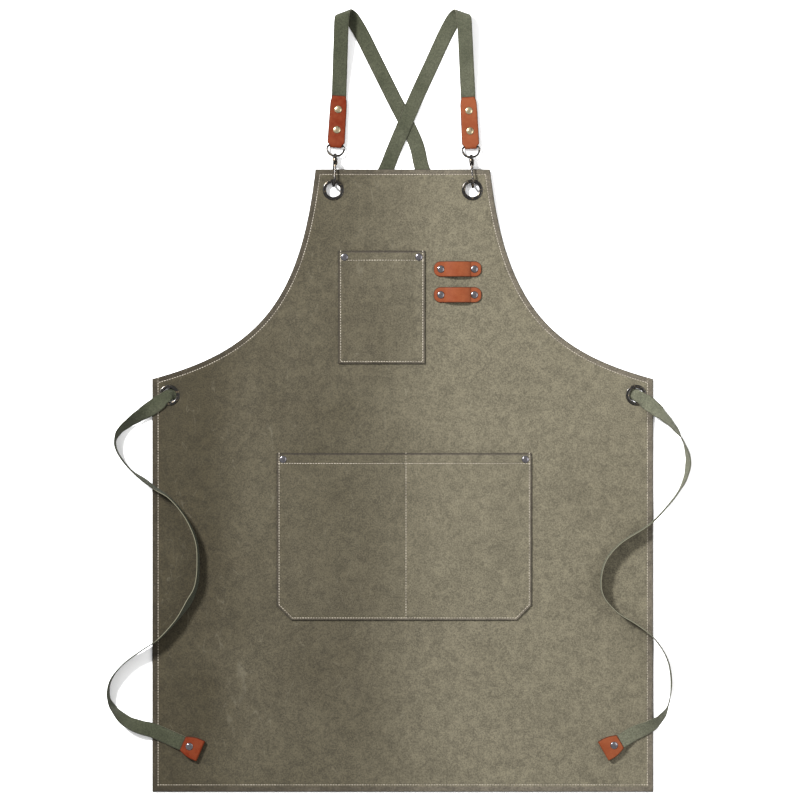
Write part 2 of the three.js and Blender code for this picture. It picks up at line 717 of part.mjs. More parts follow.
// The runs above the bib, from the fold down to the top hem. across is a share of the bib's half width,
// up a share of strapReach, before the straps cross over to the other side.
const crossingRoutes = {
  left: { fold: { across: -0.65, up: 0.969 }, run: [
    { across: -0.484, up: 0.88 },
    { across: -0.3, up: 0.675 },
    { across: -0.117, up: 0.47 },
    { across: 0.152, up: 0.163 },
  ] },
  right: { fold: { across: 0.655, up: 0.969 }, run: [
    { across: 0.501, up: 0.88 },
    { across: 0.332, up: 0.675 },
    { across: 0.163, up: 0.47 },
    { across: -0.111, up: 0.112 },
  ] },
};
const strapCrossing = { across: 0.03, up: 0.295 };

function tiePoint(side, { out, down }) {
  const sign = side === 'left' ? -1 : 1;
  return new THREE.Vector2(sign * (sideEyelet.x + out * tieSwing), sideEyelet.y - down * tieDrop);
}

// Where the tip of a tie lies: the middle of its folded end and the direction from there back along the tie
function tipPlace(side) {
  const route = tieRoutes[side];
  const end = tiePoint(side, route[route.length - 1]);
  const before = tiePoint(side, route[route.length - 2]);
  return { end, back: before.sub(end).normalize() };
}
const tipFloor = sheetTop + clearance + rivetBackHeight + clearance;
const tipSpace = strapThickness + 2 * clearance;
const tipStrapHeight = tipFloor + leatherThickness + tipSpace / 2;

function tabPoint({ x, y, lean }, along) {
  const angle = lean * degrees;
  return new THREE.Vector2(x - along * Math.sin(angle), y + along * Math.cos(angle));
}

// Stations from the tab up to the fold and half way round an upright roll. The face that shows on the way up
// lies underneath afterwards, so every station here gives the hidden face, as the runs after it do.
function foldStations(tab, foldCentre, away) {
  const tabEnd = tabPoint(tab, tabLength);
  const coming = foldCentre.clone().sub(tabEnd).normalize();
  const axis = coming.clone().add(away).normalize();
  const outward = coming.clone().sub(away).normalize();
  const alongAxis = coming.dot(axis);
  const aroundRoll = coming.dot(outward);
  const handed = Math.sign(outward.y * axis.x - outward.x * axis.y);
  const lowest = strapThickness / 2;
  const foldTop = lowest + 2 * strapFoldRadius;

  const onRoll = (length, share) => {
    const width = -share * strapWidth / 2 * handed;
    const around = length * aroundRoll - width * alongAxis;
    const angle = Math.min(Math.max(around / strapFoldRadius, 0), Math.PI);
    const past = around - strapFoldRadius * angle;
    const slide = length * alongAxis + width * aroundRoll - strapFoldRadius * Math.PI / 2 * alongAxis / aroundRoll;
    const out = strapFoldRadius * Math.sin(angle) + past * Math.cos(angle);
    const place = foldCentre.clone().addScaledVector(axis, slide).addScaledVector(outward, out);
    return {
      point: new THREE.Vector3(place.x, place.y, lowest + strapFoldRadius * (1 + Math.cos(angle))),
      face: new THREE.Vector3(-outward.x * Math.sin(angle), -outward.y * Math.sin(angle), -Math.cos(angle)),
    };
  };
  const roundRoll = Math.PI * strapFoldRadius / aroundRoll;
  const overlap = strapWidth / 2 * alongAxis / aroundRoll;
  const firstOnRoll = onRoll(-overlap, 0).point;

  const flatStation = (point, z) => ({
    centre: new THREE.Vector3(point.x, point.y, z),
    halfWidth: strapWidth / 2,
    across: new THREE.Vector3(-coming.y, coming.x, 0),
    face: upwards.clone().negate(),
  });
  const stations = [flatStation(tabPoint(tab, tabRivetsAt[0] - 9), tabStrapHeight), flatStation(tabEnd, tabStrapHeight)];
  for (const share of [0.25, 0.5, 0.75]) {
    const point = tabEnd.clone().lerp(new THREE.Vector2(firstOnRoll.x, firstOnRoll.y), share);
    stations.push(flatStation(point, tabStrapHeight + (foldTop - tabStrapHeight) * smooth(0.1 + 0.9 * share)));
  }
  for (const share of [0, 0.13, 0.25, 0.37, 0.5, 0.63, 0.75, 0.87, 1]) {
    const length = -overlap + share * (roundRoll + 2 * overlap);
    stations.push({ onRoll: (column) => onRoll(length, column) });
  }
  const { x, y } = onRoll(roundRoll + overlap, 0).point;
  return { stations, end: new THREE.Vector2(x, y) };
}

// Stations from the fold to the tie's end: every flat run, the climb through the eyelet and the standing tie
function runStations(side, from) {
  const other = side === 'left' ? 'right' : 'left';
  const sign = other === 'left' ? -1 : 1;
  const route = [{ point: from, roll: 0 }];
  for (const { across, up } of crossingRoutes[side].run) {
    route.push({ point: new THREE.Vector2(across * bibHalf, panelHeight + up * strapReach), roll: 0 });
  }
  route.push({ point: new THREE.Vector2(strapUnderHem[other], panelHeight), roll: 0 });
  for (const { out, down } of routePastRivets) {
    const point = new THREE.Vector2(sign * out * outermostRivet, panelHeight - down * keeperFromTop);
    route.push({ point, roll: 0 });
  }
  for (const { out, down } of routeRoundArmhole) {
    const point = new THREE.Vector2(sign * out * panelHalf, panelHeight - down * armholeDrop);
    route.push({ point, roll: 0 });
  }
  const eyeletIndex = route.length;
  route.push({ point: new THREE.Vector2(sign * sideEyelet.x, sideEyelet.y), roll: 0 });
  for (const row of tieRoutes[other]) {
    route.push({ point: tiePoint(other, row), roll: row.roll });
  }
  const { end, back } = tipPlace(other);
  const tipMouth = end.clone().addScaledVector(back, tipLength);
  const insideTip = 2.4 * leatherThickness;
  route[route.length - 1].point = end.clone().addScaledVector(back, insideTip);
  route.splice(route.length - 1, 0, { point: tipMouth, roll: 0 });

  const curve = new THREE.CatmullRomCurve3(route.map(({ point }) => new THREE.Vector3(point.x, point.y, 0)));
  const last = route.length - 1;
  const eyeletCentre = new THREE.Vector2(sign * sideEyelet.x, sideEyelet.y);
  const crossing = new THREE.Vector2(strapCrossing.across * bibHalf, panelHeight + strapCrossing.up * strapReach);
  const climb = { low: strapThickness / 2, high: eyeletTop(sideEyelet.x, sideEyelet.y) + clearance + strapThickness / 2 };
  const near = 16;
  const stations = [];

  const place = (t) => {
    const index = Math.min(Math.floor(t), last - 1);
    const share = t - index;
    const point = curve.getPoint(t / last);
    const tangent = curve.getTangent(t / last);
    const gap = Math.hypot(point.x - eyeletCentre.x, point.y - eyeletCentre.y);
    const before = t < eyeletIndex;
    const tableRoll = route[index].roll + (route[index + 1].roll - route[index].roll) * share;
    const roll = tableRoll * degrees * smooth((gap - eyeletFlangeRadius) / 14);
    const flat = Math.abs(Math.cos(roll));
    const step = before ? -gap : gap;
    let z = strapWidth / 2 * Math.abs(Math.sin(roll)) + strapThickness / 2 * flat;
    if (!before) {
      z += seatBelow(point.x, point.y, 12 + strapWidth / 2 * flat);
      const toMouth = Math.hypot(point.x - tipMouth.x, point.y - tipMouth.y);
      const inTip = t > last - 1 ? 1 : smooth(1 - toMouth / 45);
      z = Math.max(z, (t > last - 6 ? inTip : 0) * tipStrapHeight);
    } else if (side === 'right') {
      const apart = Math.hypot(point.x - crossing.x, point.y - crossing.y);
      z += (strapThickness + clearance) * smooth((42 - apart) / 17);
    }
    const pinch = strapPinch * smooth((near - gap) / 8);
    const halfWidth = strapWidth / 2 - pinch;
    let bend = () => 0;
    if (gap < near) {
      z = before ? climb.low : climb.high;
      bend = (share2) => {
        const rim = Math.sqrt((eyeletHoleRadius - clearance) ** 2 - (share2 * (strapWidth / 2 - strapPinch)) ** 2);
        const height = climb.low + (climb.high - climb.low) * smooth((step + rim - 1.4) / 5.6);
        return height - z;
      };
    }
    const side2d = new THREE.Vector3(tangent.y, -tangent.x, 0);
    stations.push({
      centre: new THREE.Vector3(point.x, point.y, z),
      halfWidth,
      across: side2d.clone().multiplyScalar(Math.cos(roll)).addScaledVector(upwards, Math.sin(roll)),
      face: upwards.clone().multiplyScalar(Math.cos(roll)).addScaledVector(side2d, -Math.sin(roll)),
      bend,
    });
  };

  const longStep = 22;
  for (let index = 0; index < last; index += 1) {
    const length = route[index].point.distanceTo(route[index + 1].point);
    const atEyelet = index === eyeletIndex - 1 || index === eyeletIndex;
    const steps = Math.max(1, Math.round(length / (atEyelet ? 3.2 : longStep)));
    for (let step = index === 0 ? 1 : 0; step < steps; step += 1) {
      place(index + step / steps);
    }
  }
  place(last);
  return stations;
}

function shoulderStrap(side) {
  const tab = tabSides.find((row) => row.side === side);
  const { fold, run } = crossingRoutes[side];
  const foldCentre = new THREE.Vector2(fold.across * bibHalf, panelHeight + fold.up * strapReach);
  const next = new THREE.Vector2(run[0].across * bibHalf, panelHeight + run[0].up * strapReach);
  const away = next.clone().sub(foldCentre).normalize();
  const folded = foldStations(tab, foldCentre, away);
  const stations = [...folded.stations, ...runStations(side, folded.end)];
  const whole = strip(stations, strapThickness, [-1, 0, 1]);
  const other = side === 'left' ? 'right' : 'left';
  const { end, back } = tipPlace(other);
  const tipRivet = end.clone().addScaledVector(back, tipRivetFromFold);
  const holes = tabRivetsAt.map((along) => tabPoint(tab, along));
  return cut(whole, [...holes, tipRivet].map(({ x, y }) => upright(x, y, rivetCutRadius, 8)));
}

function tieTip() {
  const shape = foldedLeather({
    length: tipLength,
    floor: tipFloor,
    foldGap: tipSpace,
    inside: () => tipSpace,
    halfWidthAt: (share) => 0.5 * tipWidth - 0.17 * tipWidth * Math.max(0, (share - 0.3) / 0.7) ** 1.8,
    layerShares: [0, 0.3, 0.5, 0.7, 0.88, 1],
  });
  return cut(shape, [upright(0, tipRivetFromFold, rivetCutRadius, 8)]);
}

addPiece('main_panel', mainPanel(), canvas);
addPiece('chest_pocket', patchPocket({
  centre: chestPocketCentre,
  foot: panelHeight - chestPocketFromTop,
  width: chestPocketWidth,
  height: chestPocketHeight,
  corner: 0,
  bulge: chestPocketBulge,
  dividers: [],
  rivets: pocketRivets.slice(0, 2),
}), canvas);
addPiece('hip_pocket', patchPocket({
  centre: hipPocketCentre,
  foot: hipPocketFromBottom,
  width: hipPocketWidth,
  height: hipPocketHeight,
  corner: hipPocketCorner,
  bulge: hipPocketBulge,
  dividers: [0.507],
  rivets: pocketRivets.slice(2),
}), canvas);
addPiece('upper_keeper_loop', keeperLoop(panelHeight - keeperFromTop, keeperRivets.slice(0, 2)), leather);
addPiece('lower_keeper_loop', keeperLoop(panelHeight - keeperFromTop - keeperPitch, keeperRivets.slice(2)), leather);

const pocketStack = pocketHemThickness + clothThickness + clearance;
for (const { name, x, y } of pocketRivets) {
  addPiece(name, rivet(x, y, hemThickness + lift(x, y), sheetTop + lift(x, y) + pocketStack), darkNickel);
}
for (const { name, x, y } of keeperRivets) {
  addPiece(name, rivet(x, y, hemThickness, sheetTop + clearance + leatherThickness), darkNickel);
}
for (const [side, sign] of [['left', -1], ['right', 1]]) {
  addPiece(`${side}_bib_eyelet`, eyelet(sign * bibEyelet.x, bibEyelet.y), darkNickel);
  addPiece(`${side}_side_eyelet`, eyelet(sign * sideEyelet.x, sideEyelet.y), darkNickel);
}

for (const tab of tabSides) {
  const { side, x, y, lean, hookRoll } = tab;
  const tabGroup = new THREE.Group();
  tabGroup.position.set(x, y, 0);
  tabGroup.rotation.z = lean * degrees;
  apron.add(tabGroup);
  addPiece(`${side}_strap_tab`, strapTab(), leather, tabGroup);
  addPiece(`${side}_hook_bail`, hookBail(), darkNickel, tabGroup);
  const overTab = tabFloor + 2 * leatherThickness + tabSpace;
  tabRivetsAt.forEach((along, index) => {
    addPiece(`${side}_tab_rivet_${['lower', 'upper'][index]}`, rivet(0, along, tabFloor, overTab), brass, tabGroup);
  });
  const hookGroup = new THREE.Group();
  hookGroup.position.set(0, -bailDrop, swivelHeight);
  hookGroup.rotation.set(0, hookRoll * degrees, 0);
  tabGroup.add(hookGroup);
  addPiece(`${side}_hook_body`, hookBody(), darkNickel, hookGroup);
  addPiece(`${side}_hook_gate`, hookGate(), darkNickel, hookGroup);
}

for (const side of ['left', 'right']) {
  addPiece(`${side}_shoulder_strap`, shoulderStrap(side), webbing);
  const { end, back } = tipPlace(side);
  const tipGroup = new THREE.Group();
  tipGroup.position.set(end.x, end.y, 0);
  tipGroup.rotation.z = Math.atan2(-back.x, back.y);
  apron.add(tipGroup);
  addPiece(`${side}_tie_tip`, tieTip(), leather, tipGroup);
  const overTip = tipFloor + 2 * leatherThickness + tipSpace;
  addPiece(`${side}_tip_rivet`, rivet(0, tipRivetFromFold, tipFloor, overTip), darkNickel, tipGroup);
}

export default apron;
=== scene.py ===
import math

import bmesh
import bpy
import numpy as np
from bpy.props import FloatProperty, FloatVectorProperty, PointerProperty
from bpy.types import Operator, Panel, PropertyGroup
from mathutils import Matrix, Vector
from mathutils.geometry import delaunay_2d_cdt


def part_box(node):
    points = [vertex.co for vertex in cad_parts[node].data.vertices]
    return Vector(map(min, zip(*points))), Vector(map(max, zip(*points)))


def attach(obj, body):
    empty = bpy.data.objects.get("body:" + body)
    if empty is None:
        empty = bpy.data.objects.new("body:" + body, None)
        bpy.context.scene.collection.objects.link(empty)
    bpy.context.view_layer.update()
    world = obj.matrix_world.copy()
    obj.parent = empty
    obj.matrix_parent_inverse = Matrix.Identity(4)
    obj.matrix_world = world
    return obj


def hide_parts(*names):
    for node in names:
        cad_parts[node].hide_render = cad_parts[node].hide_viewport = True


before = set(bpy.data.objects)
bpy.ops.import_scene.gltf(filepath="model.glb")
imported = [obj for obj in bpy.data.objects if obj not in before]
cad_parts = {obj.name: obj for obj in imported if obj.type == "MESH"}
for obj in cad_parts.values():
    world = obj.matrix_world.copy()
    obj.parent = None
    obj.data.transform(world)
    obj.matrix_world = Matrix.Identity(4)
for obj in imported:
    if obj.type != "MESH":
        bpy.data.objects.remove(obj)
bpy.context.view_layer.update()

bl_info = {
    "name": "Work apron",
    "version": (1, 0, 0),
    "blender": (4, 5, 0),
    "location": "View3D > Sidebar > Apron",
    "description": "Builds the visible pieces of a cross-back work apron over its packed frame",
    "category": "Object",
}

MM = 0.001
SIDES = ("left", "right")

# Canvas panel
PANEL_WIDTH = 680
PANEL_HEIGHT = 845
BIB_WIDTH = 237
SHOULDER_HEIGHT = 560.6
ARMHOLE_SHOULDER_ANGLE = 15
ARMHOLE_BIB_ANGLE = 6.5
CLOTH = 1
HEM_WIDTH = 11
HEM_THICKNESS = 2
CLEARANCE = 0.3
PANEL_HALF = PANEL_WIDTH / 2
BIB_HALF = BIB_WIDTH / 2
SHEET_TOP = HEM_THICKNESS + CLOTH

# Eyelets
EYELET_HOLE = 9.6
EYELET_FLANGE = 14.2
EYELET_CUT = EYELET_HOLE + 0.8 + CLEARANCE
EYELET_RIM = 0.8
BIB_EYELET = (BIB_HALF - 24.2, PANEL_HEIGHT - 28)
SIDE_EYELET = (PANEL_HALF - 23, SHOULDER_HEIGHT - 22.1)

# Rivets
RIVET_CUT = 1.7
RIVET_CAP = 5
RIVET_CAP_HEIGHT = 1.7
RIVET_BACK = 4
RIVET_BACK_HEIGHT = 1.2
RIVET_POST = 1.4

# Pockets
POCKET_HEM = 0.8
POCKET_HEM_WIDTH = 14
POCKET_TURN = 9
POCKET_RIVET_INSET = 8.5
# The net of a pocket's sheet: the distances of its rows from the edge, and its spacing inside them
POCKET_DEPTHS = (0.12, 0.4, 0.9, 1.9, 2.6, 3.3, 4, 5, 6.8, 8.7, 9.3)
POCKET_NET = 4.5
# The painted shade line along a pocket's mouth, standing in for the shade of its opening
MOUTH_SHADE_SHARE = 0.5
MOUTH_SHADE_DEPTH = 3.5
MOUTH_SHADE_FADE = 1.5
CHEST_POCKET = {"centre": -28.5, "foot": 581, "width": 118, "height": 153.5, "corner": 0, "bulge": 7.2,
                "dividers": [], "hem_seam": 13}
HIP_POCKET = {"centre": 2, "foot": 233, "width": 346, "height": 227, "corner": 20, "bulge": 7.6,
              "dividers": [0.507], "hem_seam": 14}

# Leather
LEATHER = 1.6
KEEPER_LENGTH = 65
KEEPER_WIDTH = 21
KEEPER_RIVETS = 45.5
KEEPER_CENTRE = 74.5
KEEPER_FROM_TOP = 135.3
KEEPER_ARCH = 6
TAB_LENGTH = 71
TAB_WIDTH = 24
TIP_LENGTH = 27
TIP_WIDTH = 30

# Webbing
STRAP_WIDTH = 20
STRAP = 1.5
STRAP_REACH = 212
STRAP_FOLD = 8
STRAP_PINCH = 1.9
TIE_SWING = 82
TIE_DROP = 483

# Bails and hooks
BAIL_WIDTH = 25.5
BAIL_WIRE = 3
BAIL_DROP = 11
HOOK_LENGTH = 43
HOOK_WIRE = 3.5
HOOK_OPENING = 17.45
SWIVEL_HEIGHT = 8
BARREL = 3.5
STEM = 1.2
GATE_WIRE = 2.6
GATE_PIN = 0.8

TABS = {
    "left": {"x": -0.767 * BIB_HALF, "y": PANEL_HEIGHT + 29.1, "lean": -3.57, "roll": 8},
    "right": {"x": 0.78 * BIB_HALF, "y": PANEL_HEIGHT + 27.4, "lean": 3.0, "roll": 0},
}
TAB_FLOOR = RIVET_BACK_HEIGHT + CLEARANCE
TAB_SPACE = STRAP + 2 * CLEARANCE
TAB_BAR_SPACE = BAIL_WIRE + 2 * CLEARANCE
BAR_HEIGHT = TAB_FLOOR + LEATHER + TAB_BAR_SPACE / 2
BAR_AT = LEATHER + TAB_BAR_SPACE / 2
TAB_RIVETS_AT = (TAB_LENGTH - 18.8 - 27.6, TAB_LENGTH - 18.8)
TIP_FLOOR = SHEET_TOP + 2 * CLEARANCE + RIVET_BACK_HEIGHT
TIP_STRAP_HEIGHT = TIP_FLOOR + LEATHER + TAB_SPACE / 2

# How far the panel rises over what lies below it: place, rise, radius of the flat top, radius of the foot
STRAP_UNDER_HEM = {"left": -0.192 * BIB_HALF, "right": 0.226 * BIB_HALF}
RISES = [
    (-BIB_EYELET[0], BIB_EYELET[1], HOOK_WIRE + 3 * CLEARANCE, 24, 78),
    (BIB_EYELET[0], BIB_EYELET[1], HOOK_WIRE + 3 * CLEARANCE, 24, 78),
    (STRAP_UNDER_HEM["left"], PANEL_HEIGHT, STRAP + 2 * CLEARANCE, 20, 62),
    (STRAP_UNDER_HEM["right"], PANEL_HEIGHT, STRAP + 2 * CLEARANCE, 20, 62),
    (-SIDE_EYELET[0], SIDE_EYELET[1], 1.2, 34, 100),
    (SIDE_EYELET[0], SIDE_EYELET[1], 1.2, 34, 100),
]

# The ties as they lie: out as a share of TIE_SWING, down as a share of TIE_DROP, roll in degrees
TIE_ROUTES = {
    "left": [
        (0.256, 0.032, 0), (0.5, 0.059, 41), (0.695, 0.082, 60), (0.823, 0.102, 72), (0.89, 0.129, 88),
        (0.861, 0.156, 90), (0.652, 0.206, 90), (0.385, 0.241, 78), (0.22, 0.262, 82), (0, 0.287, 88),
        (-0.262, 0.339, 88), (-0.451, 0.409, 86), (-0.483, 0.479, 84), (-0.451, 0.535, 80),
        (-0.329, 0.581, 70), (-0.098, 0.637, 84), (0.195, 0.688, 88), (0.439, 0.715, 90),
        (0.793, 0.761, 90), (0.976, 0.806, 88), (0.996, 0.85, 84), (0.915, 0.879, 70),
        (0.715, 0.914, 45), (0.476, 0.932, 26), (0.28, 0.941, 8), (-0.012, 0.962, 0), (-0.527, 1, 0),
    ],
    "right": [
        (0.293, 0.036, 20), (0.459, 0.061, 52), (0.622, 0.09, 68), (0.765, 0.127, 90), (0.848, 0.169, 104),
        (0.854, 0.196, 108), (0.805, 0.234, 100), (0.69, 0.272, 90), (0.517, 0.31, 90), (0.293, 0.351, 90),
        (0.134, 0.372, 90), (-0.268, 0.416, 90), (-0.505, 0.463, 90), (-0.588, 0.519, 90),
        (-0.552, 0.562, 90), (-0.341, 0.606, 90), (0.018, 0.645, 90), (0.28, 0.681, 90), (0.505, 0.74, 90),
        (0.573, 0.804, 90), (0.524, 0.869, 84), (0.409, 0.904, 60), (0.227, 0.929, 30), (-0.024, 0.949, 6),
        (-0.551, 1, 0),
    ],
}
OUTERMOST_RIVET = KEEPER_CENTRE + KEEPER_RIVETS / 2
ROUTE_PAST_RIVETS = [(0.494, 0.333), (0.864, 0.687), (1.152, 0.961), (1.275, 1.16)]
ROUTE_ROUND_ARMHOLE = [(0.426, 0.668), (0.506, 0.781), (0.609, 0.89), (0.726, 0.981), (0.838, 1.041)]
CROSSING_ROUTES = {
    "left": {"fold": (-0.65, 0.969), "run": [(-0.484, 0.88), (-0.3, 0.675), (-0.117, 0.47), (0.152, 0.163)]},
    "right": {"fold": (0.655, 0.969), "run": [(0.501, 0.88), (0.332, 0.675), (0.163, 0.47), (-0.111, 0.112)]},
}
STRAP_CROSSING = (0.03, 0.295)


def smooth(value):
    t = np.clip(value, 0, 1)
    return t * t * (3 - 2 * t)


def unit(vector):
    return Vector(vector).normalized()


def lift(x, y):
    """How far the panel lies above the surface at a place, for one place or arrays of them."""
    heights = [rise * smooth((reach - np.hypot(x - cx, y - cy)) / (reach - flat))
               for cx, cy, rise, flat, reach in RISES]
    return np.max(heights, axis=0)


def node_box(node):
    """A node's lowest and highest corners in millimetres, in the frame that the shapes are worked out in."""
    shift = Vector((0, HEM_WIDTH / 2, 0))
    return [Vector(corner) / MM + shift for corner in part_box(node)]


def in_metres(points):
    moved = np.asarray(points, dtype=float) * MM
    moved[:, 1] -= HEM_WIDTH / 2 * MM
    return moved


# Pieces


def piece(name, points, faces, material, nodes, body="apron", edge=None, uv=None,
          corner_angle=None):
    """A closed, smooth piece from points in millimetres. edge gives each point's distance from the cut
    edge in millimetres, uv its place along and across a strip in metres."""
    mesh = bpy.data.meshes.new(name)
    mesh.from_pydata(in_metres(points).tolist(), [], [list(face) for face in faces])
    mesh.validate()
    if edge is not None:
        attribute = mesh.attributes.new("edge_distance", "FLOAT", "POINT")
        attribute.data.foreach_set("value", np.asarray(edge, dtype=float))
    if uv is not None:
        layer = mesh.uv_layers.new(name="strip")
        corners = np.empty(len(mesh.loops), dtype=int)
        mesh.loops.foreach_get("vertex_index", corners)
        layer.data.foreach_set("uv", np.asarray(uv, dtype=float)[corners].ravel())
    return finished(mesh, name, material, nodes, body, corner_angle)


def outward(mesh):
    """Turns the faces of a mesh outwards, after its doubles are merged."""
    shape = bmesh.new()
    shape.from_mesh(mesh)
    bmesh.ops.remove_doubles(shape, verts=shape.verts, dist=1e-7)
    bmesh.ops.recalc_face_normals(shape, faces=shape.faces)
    shape.to_mesh(mesh)
    shape.free()


def finished(mesh, name, material, nodes, body="apron", corner_angle=None):
    outward(mesh)
    mesh.shade_smooth()
    if corner_angle is not None:
        mesh.set_sharp_from_angle(angle=math.radians(corner_angle))
    mesh.materials.clear()
    mesh.materials.append(material)
    thing = bpy.data.objects.new(name, mesh)
    bpy.context.scene.collection.objects.link(thing)
    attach(thing, body)
    if nodes:
        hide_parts(*nodes)
    return thing


def moved(shape, matrix):
    points, faces = shape
    return [matrix @ Vector(point) for point in points], faces


def loose_mesh(shape):
    points, faces = shape
    mesh = bpy.data.meshes.new("shape")
    mesh.from_pydata([tuple(point) for point in points], [], [list(face) for face in faces])
    outward(mesh)
    return mesh


def combined(first, second, operation):
    """The exact union of two closed shapes, or the first less the second."""
    keep = bpy.data.objects.new("keep", loose_mesh(first))
    tool = bpy.data.objects.new("tool", loose_mesh(second))
    for thing in (keep, tool):
        bpy.context.scene.collection.objects.link(thing)
    boolean = keep.modifiers.new("combine", "BOOLEAN")
    boolean.operation = operation
    boolean.solver = "EXACT"
    boolean.object = tool
    result = bpy.data.meshes.new_from_object(keep.evaluated_get(bpy.context.evaluated_depsgraph_get()))
    shape = ([vertex.co.copy() for vertex in result.vertices], [tuple(p.vertices) for p in result.polygons])
    for thing in (keep, tool):
        mesh = thing.data
        bpy.data.objects.remove(thing)
        bpy.data.meshes.remove(mesh)
    bpy.data.meshes.remove(result)
    return shape


def turned(profile, segments=48):
    """A solid turned about the Z axis from (radius, height) pairs, closed on the axis or round a bore."""
    closed = profile[0][0] > 0
    points, faces, rows = [], [], []
    for radius, height in profile:
        if radius == 0:
            rows.append([len(points)] * segments)
            points.append((0, 0, height))
            continue
        rows.append(list(range(len(points), len(points) + segments)))
        for step in range(segments):
            angle = 2 * math.pi * step / segments
            points.append((radius * math.cos(angle), radius * math.sin(angle), height))
    pairs = list(zip(rows, rows[1:] + rows[:1])) if closed else list(zip(rows, rows[1:]))
    for low, high in pairs:
        for step in range(segments):
            after = (step + 1) % segments
            corners = dict.fromkeys([low[step], low[after], high[after], high[step]])
            if len(corners) > 2:
                faces.append(tuple(corners))
    return points, faces


def spline(points, steps, closed=False):
    """A centripetal Catmull-Rom curve through points, with steps places for each stretch."""
    route = [Vector(point) for point in points]
    count = len(route)
    stretches = count if closed else count - 1
    places = [curve_place(route, stretch + step / steps, closed)
              for stretch in range(stretches) for step in range(steps)]
    return places if closed else places + [route[-1].copy()]


def curve_place(route, t, closed=False):
    """The place at t stretches along the curve through route, worked out as the frame's curves are."""
    last = len(route) - 1
    start = int(math.floor(t)) if closed else min(int(math.floor(t)), last - 1)
    share = t - start

    def at(index):
        if closed:
            return route[index % len(route)]
        if index < 0:
            return 2 * route[0] - route[1]
        if index > last:
            return 2 * route[last] - route[last - 1]
        return route[index]

    a, b, c, d = [at(start + step) for step in (-1, 0, 1, 2)]
    middle = math.sqrt((c - b).length) or 1
    before = math.sqrt((b - a).length) or middle
    after = math.sqrt((d - c).length) or middle
    leave = ((b - a) / before - (c - a) / (before + middle) + (c - b) / middle) * middle
    reach = ((c - b) / middle - (d - b) / (middle + after) + (d - c) / after) * middle
    bend = -3 * b + 3 * c - 2 * leave - reach
    twist = 2 * b - 2 * c + leave + reach
    return b + leave * share + bend * share ** 2 + twist * share ** 3


def wire(path, radius, closed=False, sides=18):
    """A round wire along close points in the YZ plane or near it, with domed ends."""
    count = len(path)
    rings, normal = [], None
    for index, place in enumerate(path):
        ahead = path[(index + 1) % count] if closed or index < count - 1 else place
        behind = path[index - 1] if closed or index > 0 else place
        along = unit(ahead - behind)
        if normal is None:
            normal = unit(along.orthogonal())
        normal = unit(normal - along * normal.dot(along))
        rings.append((Vector(place), along, normal.copy()))
    if not closed:
        domes = [(math.sin(math.radians(a)), 1 - math.cos(math.radians(a))) for a in (20, 50, 80)]
        place, along, side = rings[0]
        first = [(place + along * radius * (back - 1) * 0.6, along, side, reach) for reach, back in domes]
        place, along, side = rings[-1]
        final = [(place - along * radius * (back - 1) * 0.6, along, side, reach)
                 for reach, back in domes[::-1]]
        rings = first + [(*ring, 1) for ring in rings] + final
    else:
        rings = [(*ring, 1) for ring in rings]
    points, faces = [], []
    for place, along, side, reach in rings:
        other = along.cross(side)
        for step in range(sides):
            angle = 2 * math.pi * step / sides
            points.append(place + (side * math.cos(angle) + other * math.sin(angle)) * radius * reach)
    total = len(rings)
    for ring in range(total if closed else total - 1):
        for step in range(sides):
            after = (step + 1) % sides
            following = (ring + 1) % total
            faces.append((ring * sides + step, ring * sides + after, following * sides + after,
                          following * sides + step))
    if not closed:
        faces.append(tuple(range(sides)))
        faces.append(tuple(range((total - 1) * sides, total * sides)))
    return points, faces


# Cloth sheets


def resampled(corners, spacing, closed=True):
    """Points along a polygon or line, no further apart than spacing, with every corner kept."""
    places = []
    ends = corners[1:] + corners[:1] if closed else corners[1:]
    for start, end in zip(corners, ends):
        steps = max(1, math.ceil(math.dist(start, end) / spacing))
        for step in range(steps):
            share = step / steps
            places.append((start[0] + (end[0] - start[0]) * share, start[1] + (end[1] - start[1]) * share))
    if not closed:
        places.append(tuple(corners[-1]))
    return places


def distances(points, line, closed=True):
    """Distance of each point from the nearest place on a line."""
    points = np.asarray(points, dtype=float)
    starts = np.asarray(line, dtype=float)
    ends = np.roll(starts, -1, axis=0)
    if not closed:
        starts, ends = starts[:-1], ends[:-1]
    along = ends - starts
    lengths = np.maximum((along ** 2).sum(1), 1e-12)
    nearest = np.full(len(points), np.inf)
    for first in range(0, len(points), 2000):
        block = points[first:first + 2000]
        towards = block[:, None, :] - starts[None, :, :]
        share = np.clip((towards * along).sum(2) / lengths, 0, 1)
        gap = np.hypot(*(towards - share[:, :, None] * along).transpose(2, 0, 1))
        nearest[first:first + 2000] = gap.min(1)
    return nearest


def inside(points, polygon):
    """Which points lie inside a polygon."""
    points = np.asarray(points, dtype=float)
    x, y = points[:, 0], points[:, 1]
    result = np.zeros(len(points), dtype=bool)
    for (x0, y0), (x1, y1) in zip(polygon, polygon[1:] + polygon[:1]):
        if y0 != y1:
            crosses = (y0 > y) != (y1 > y)
            result ^= crosses & (x < (x1 - x0) * (y - y0) / (y1 - y0) + x0)
    return result


def inner_ring(outline, depth):
    """The outline moved inwards by depth, with mitred corners and without the places that overlap."""
    line = np.asarray(outline, dtype=float)
    ahead = np.roll(line, -1, axis=0) - line
    ahead /= np.hypot(*ahead.T)[:, None]
    behind = np.roll(ahead, 1, axis=0)
    normal = np.stack([-(ahead + behind)[:, 1], (ahead + behind)[:, 0]], axis=1)
    normal /= np.maximum((normal ** 2).sum(1), 1e-9)[:, None] / 2
    ring = line + normal * depth
    return ring[distances(ring, outline) > depth - 0.02]


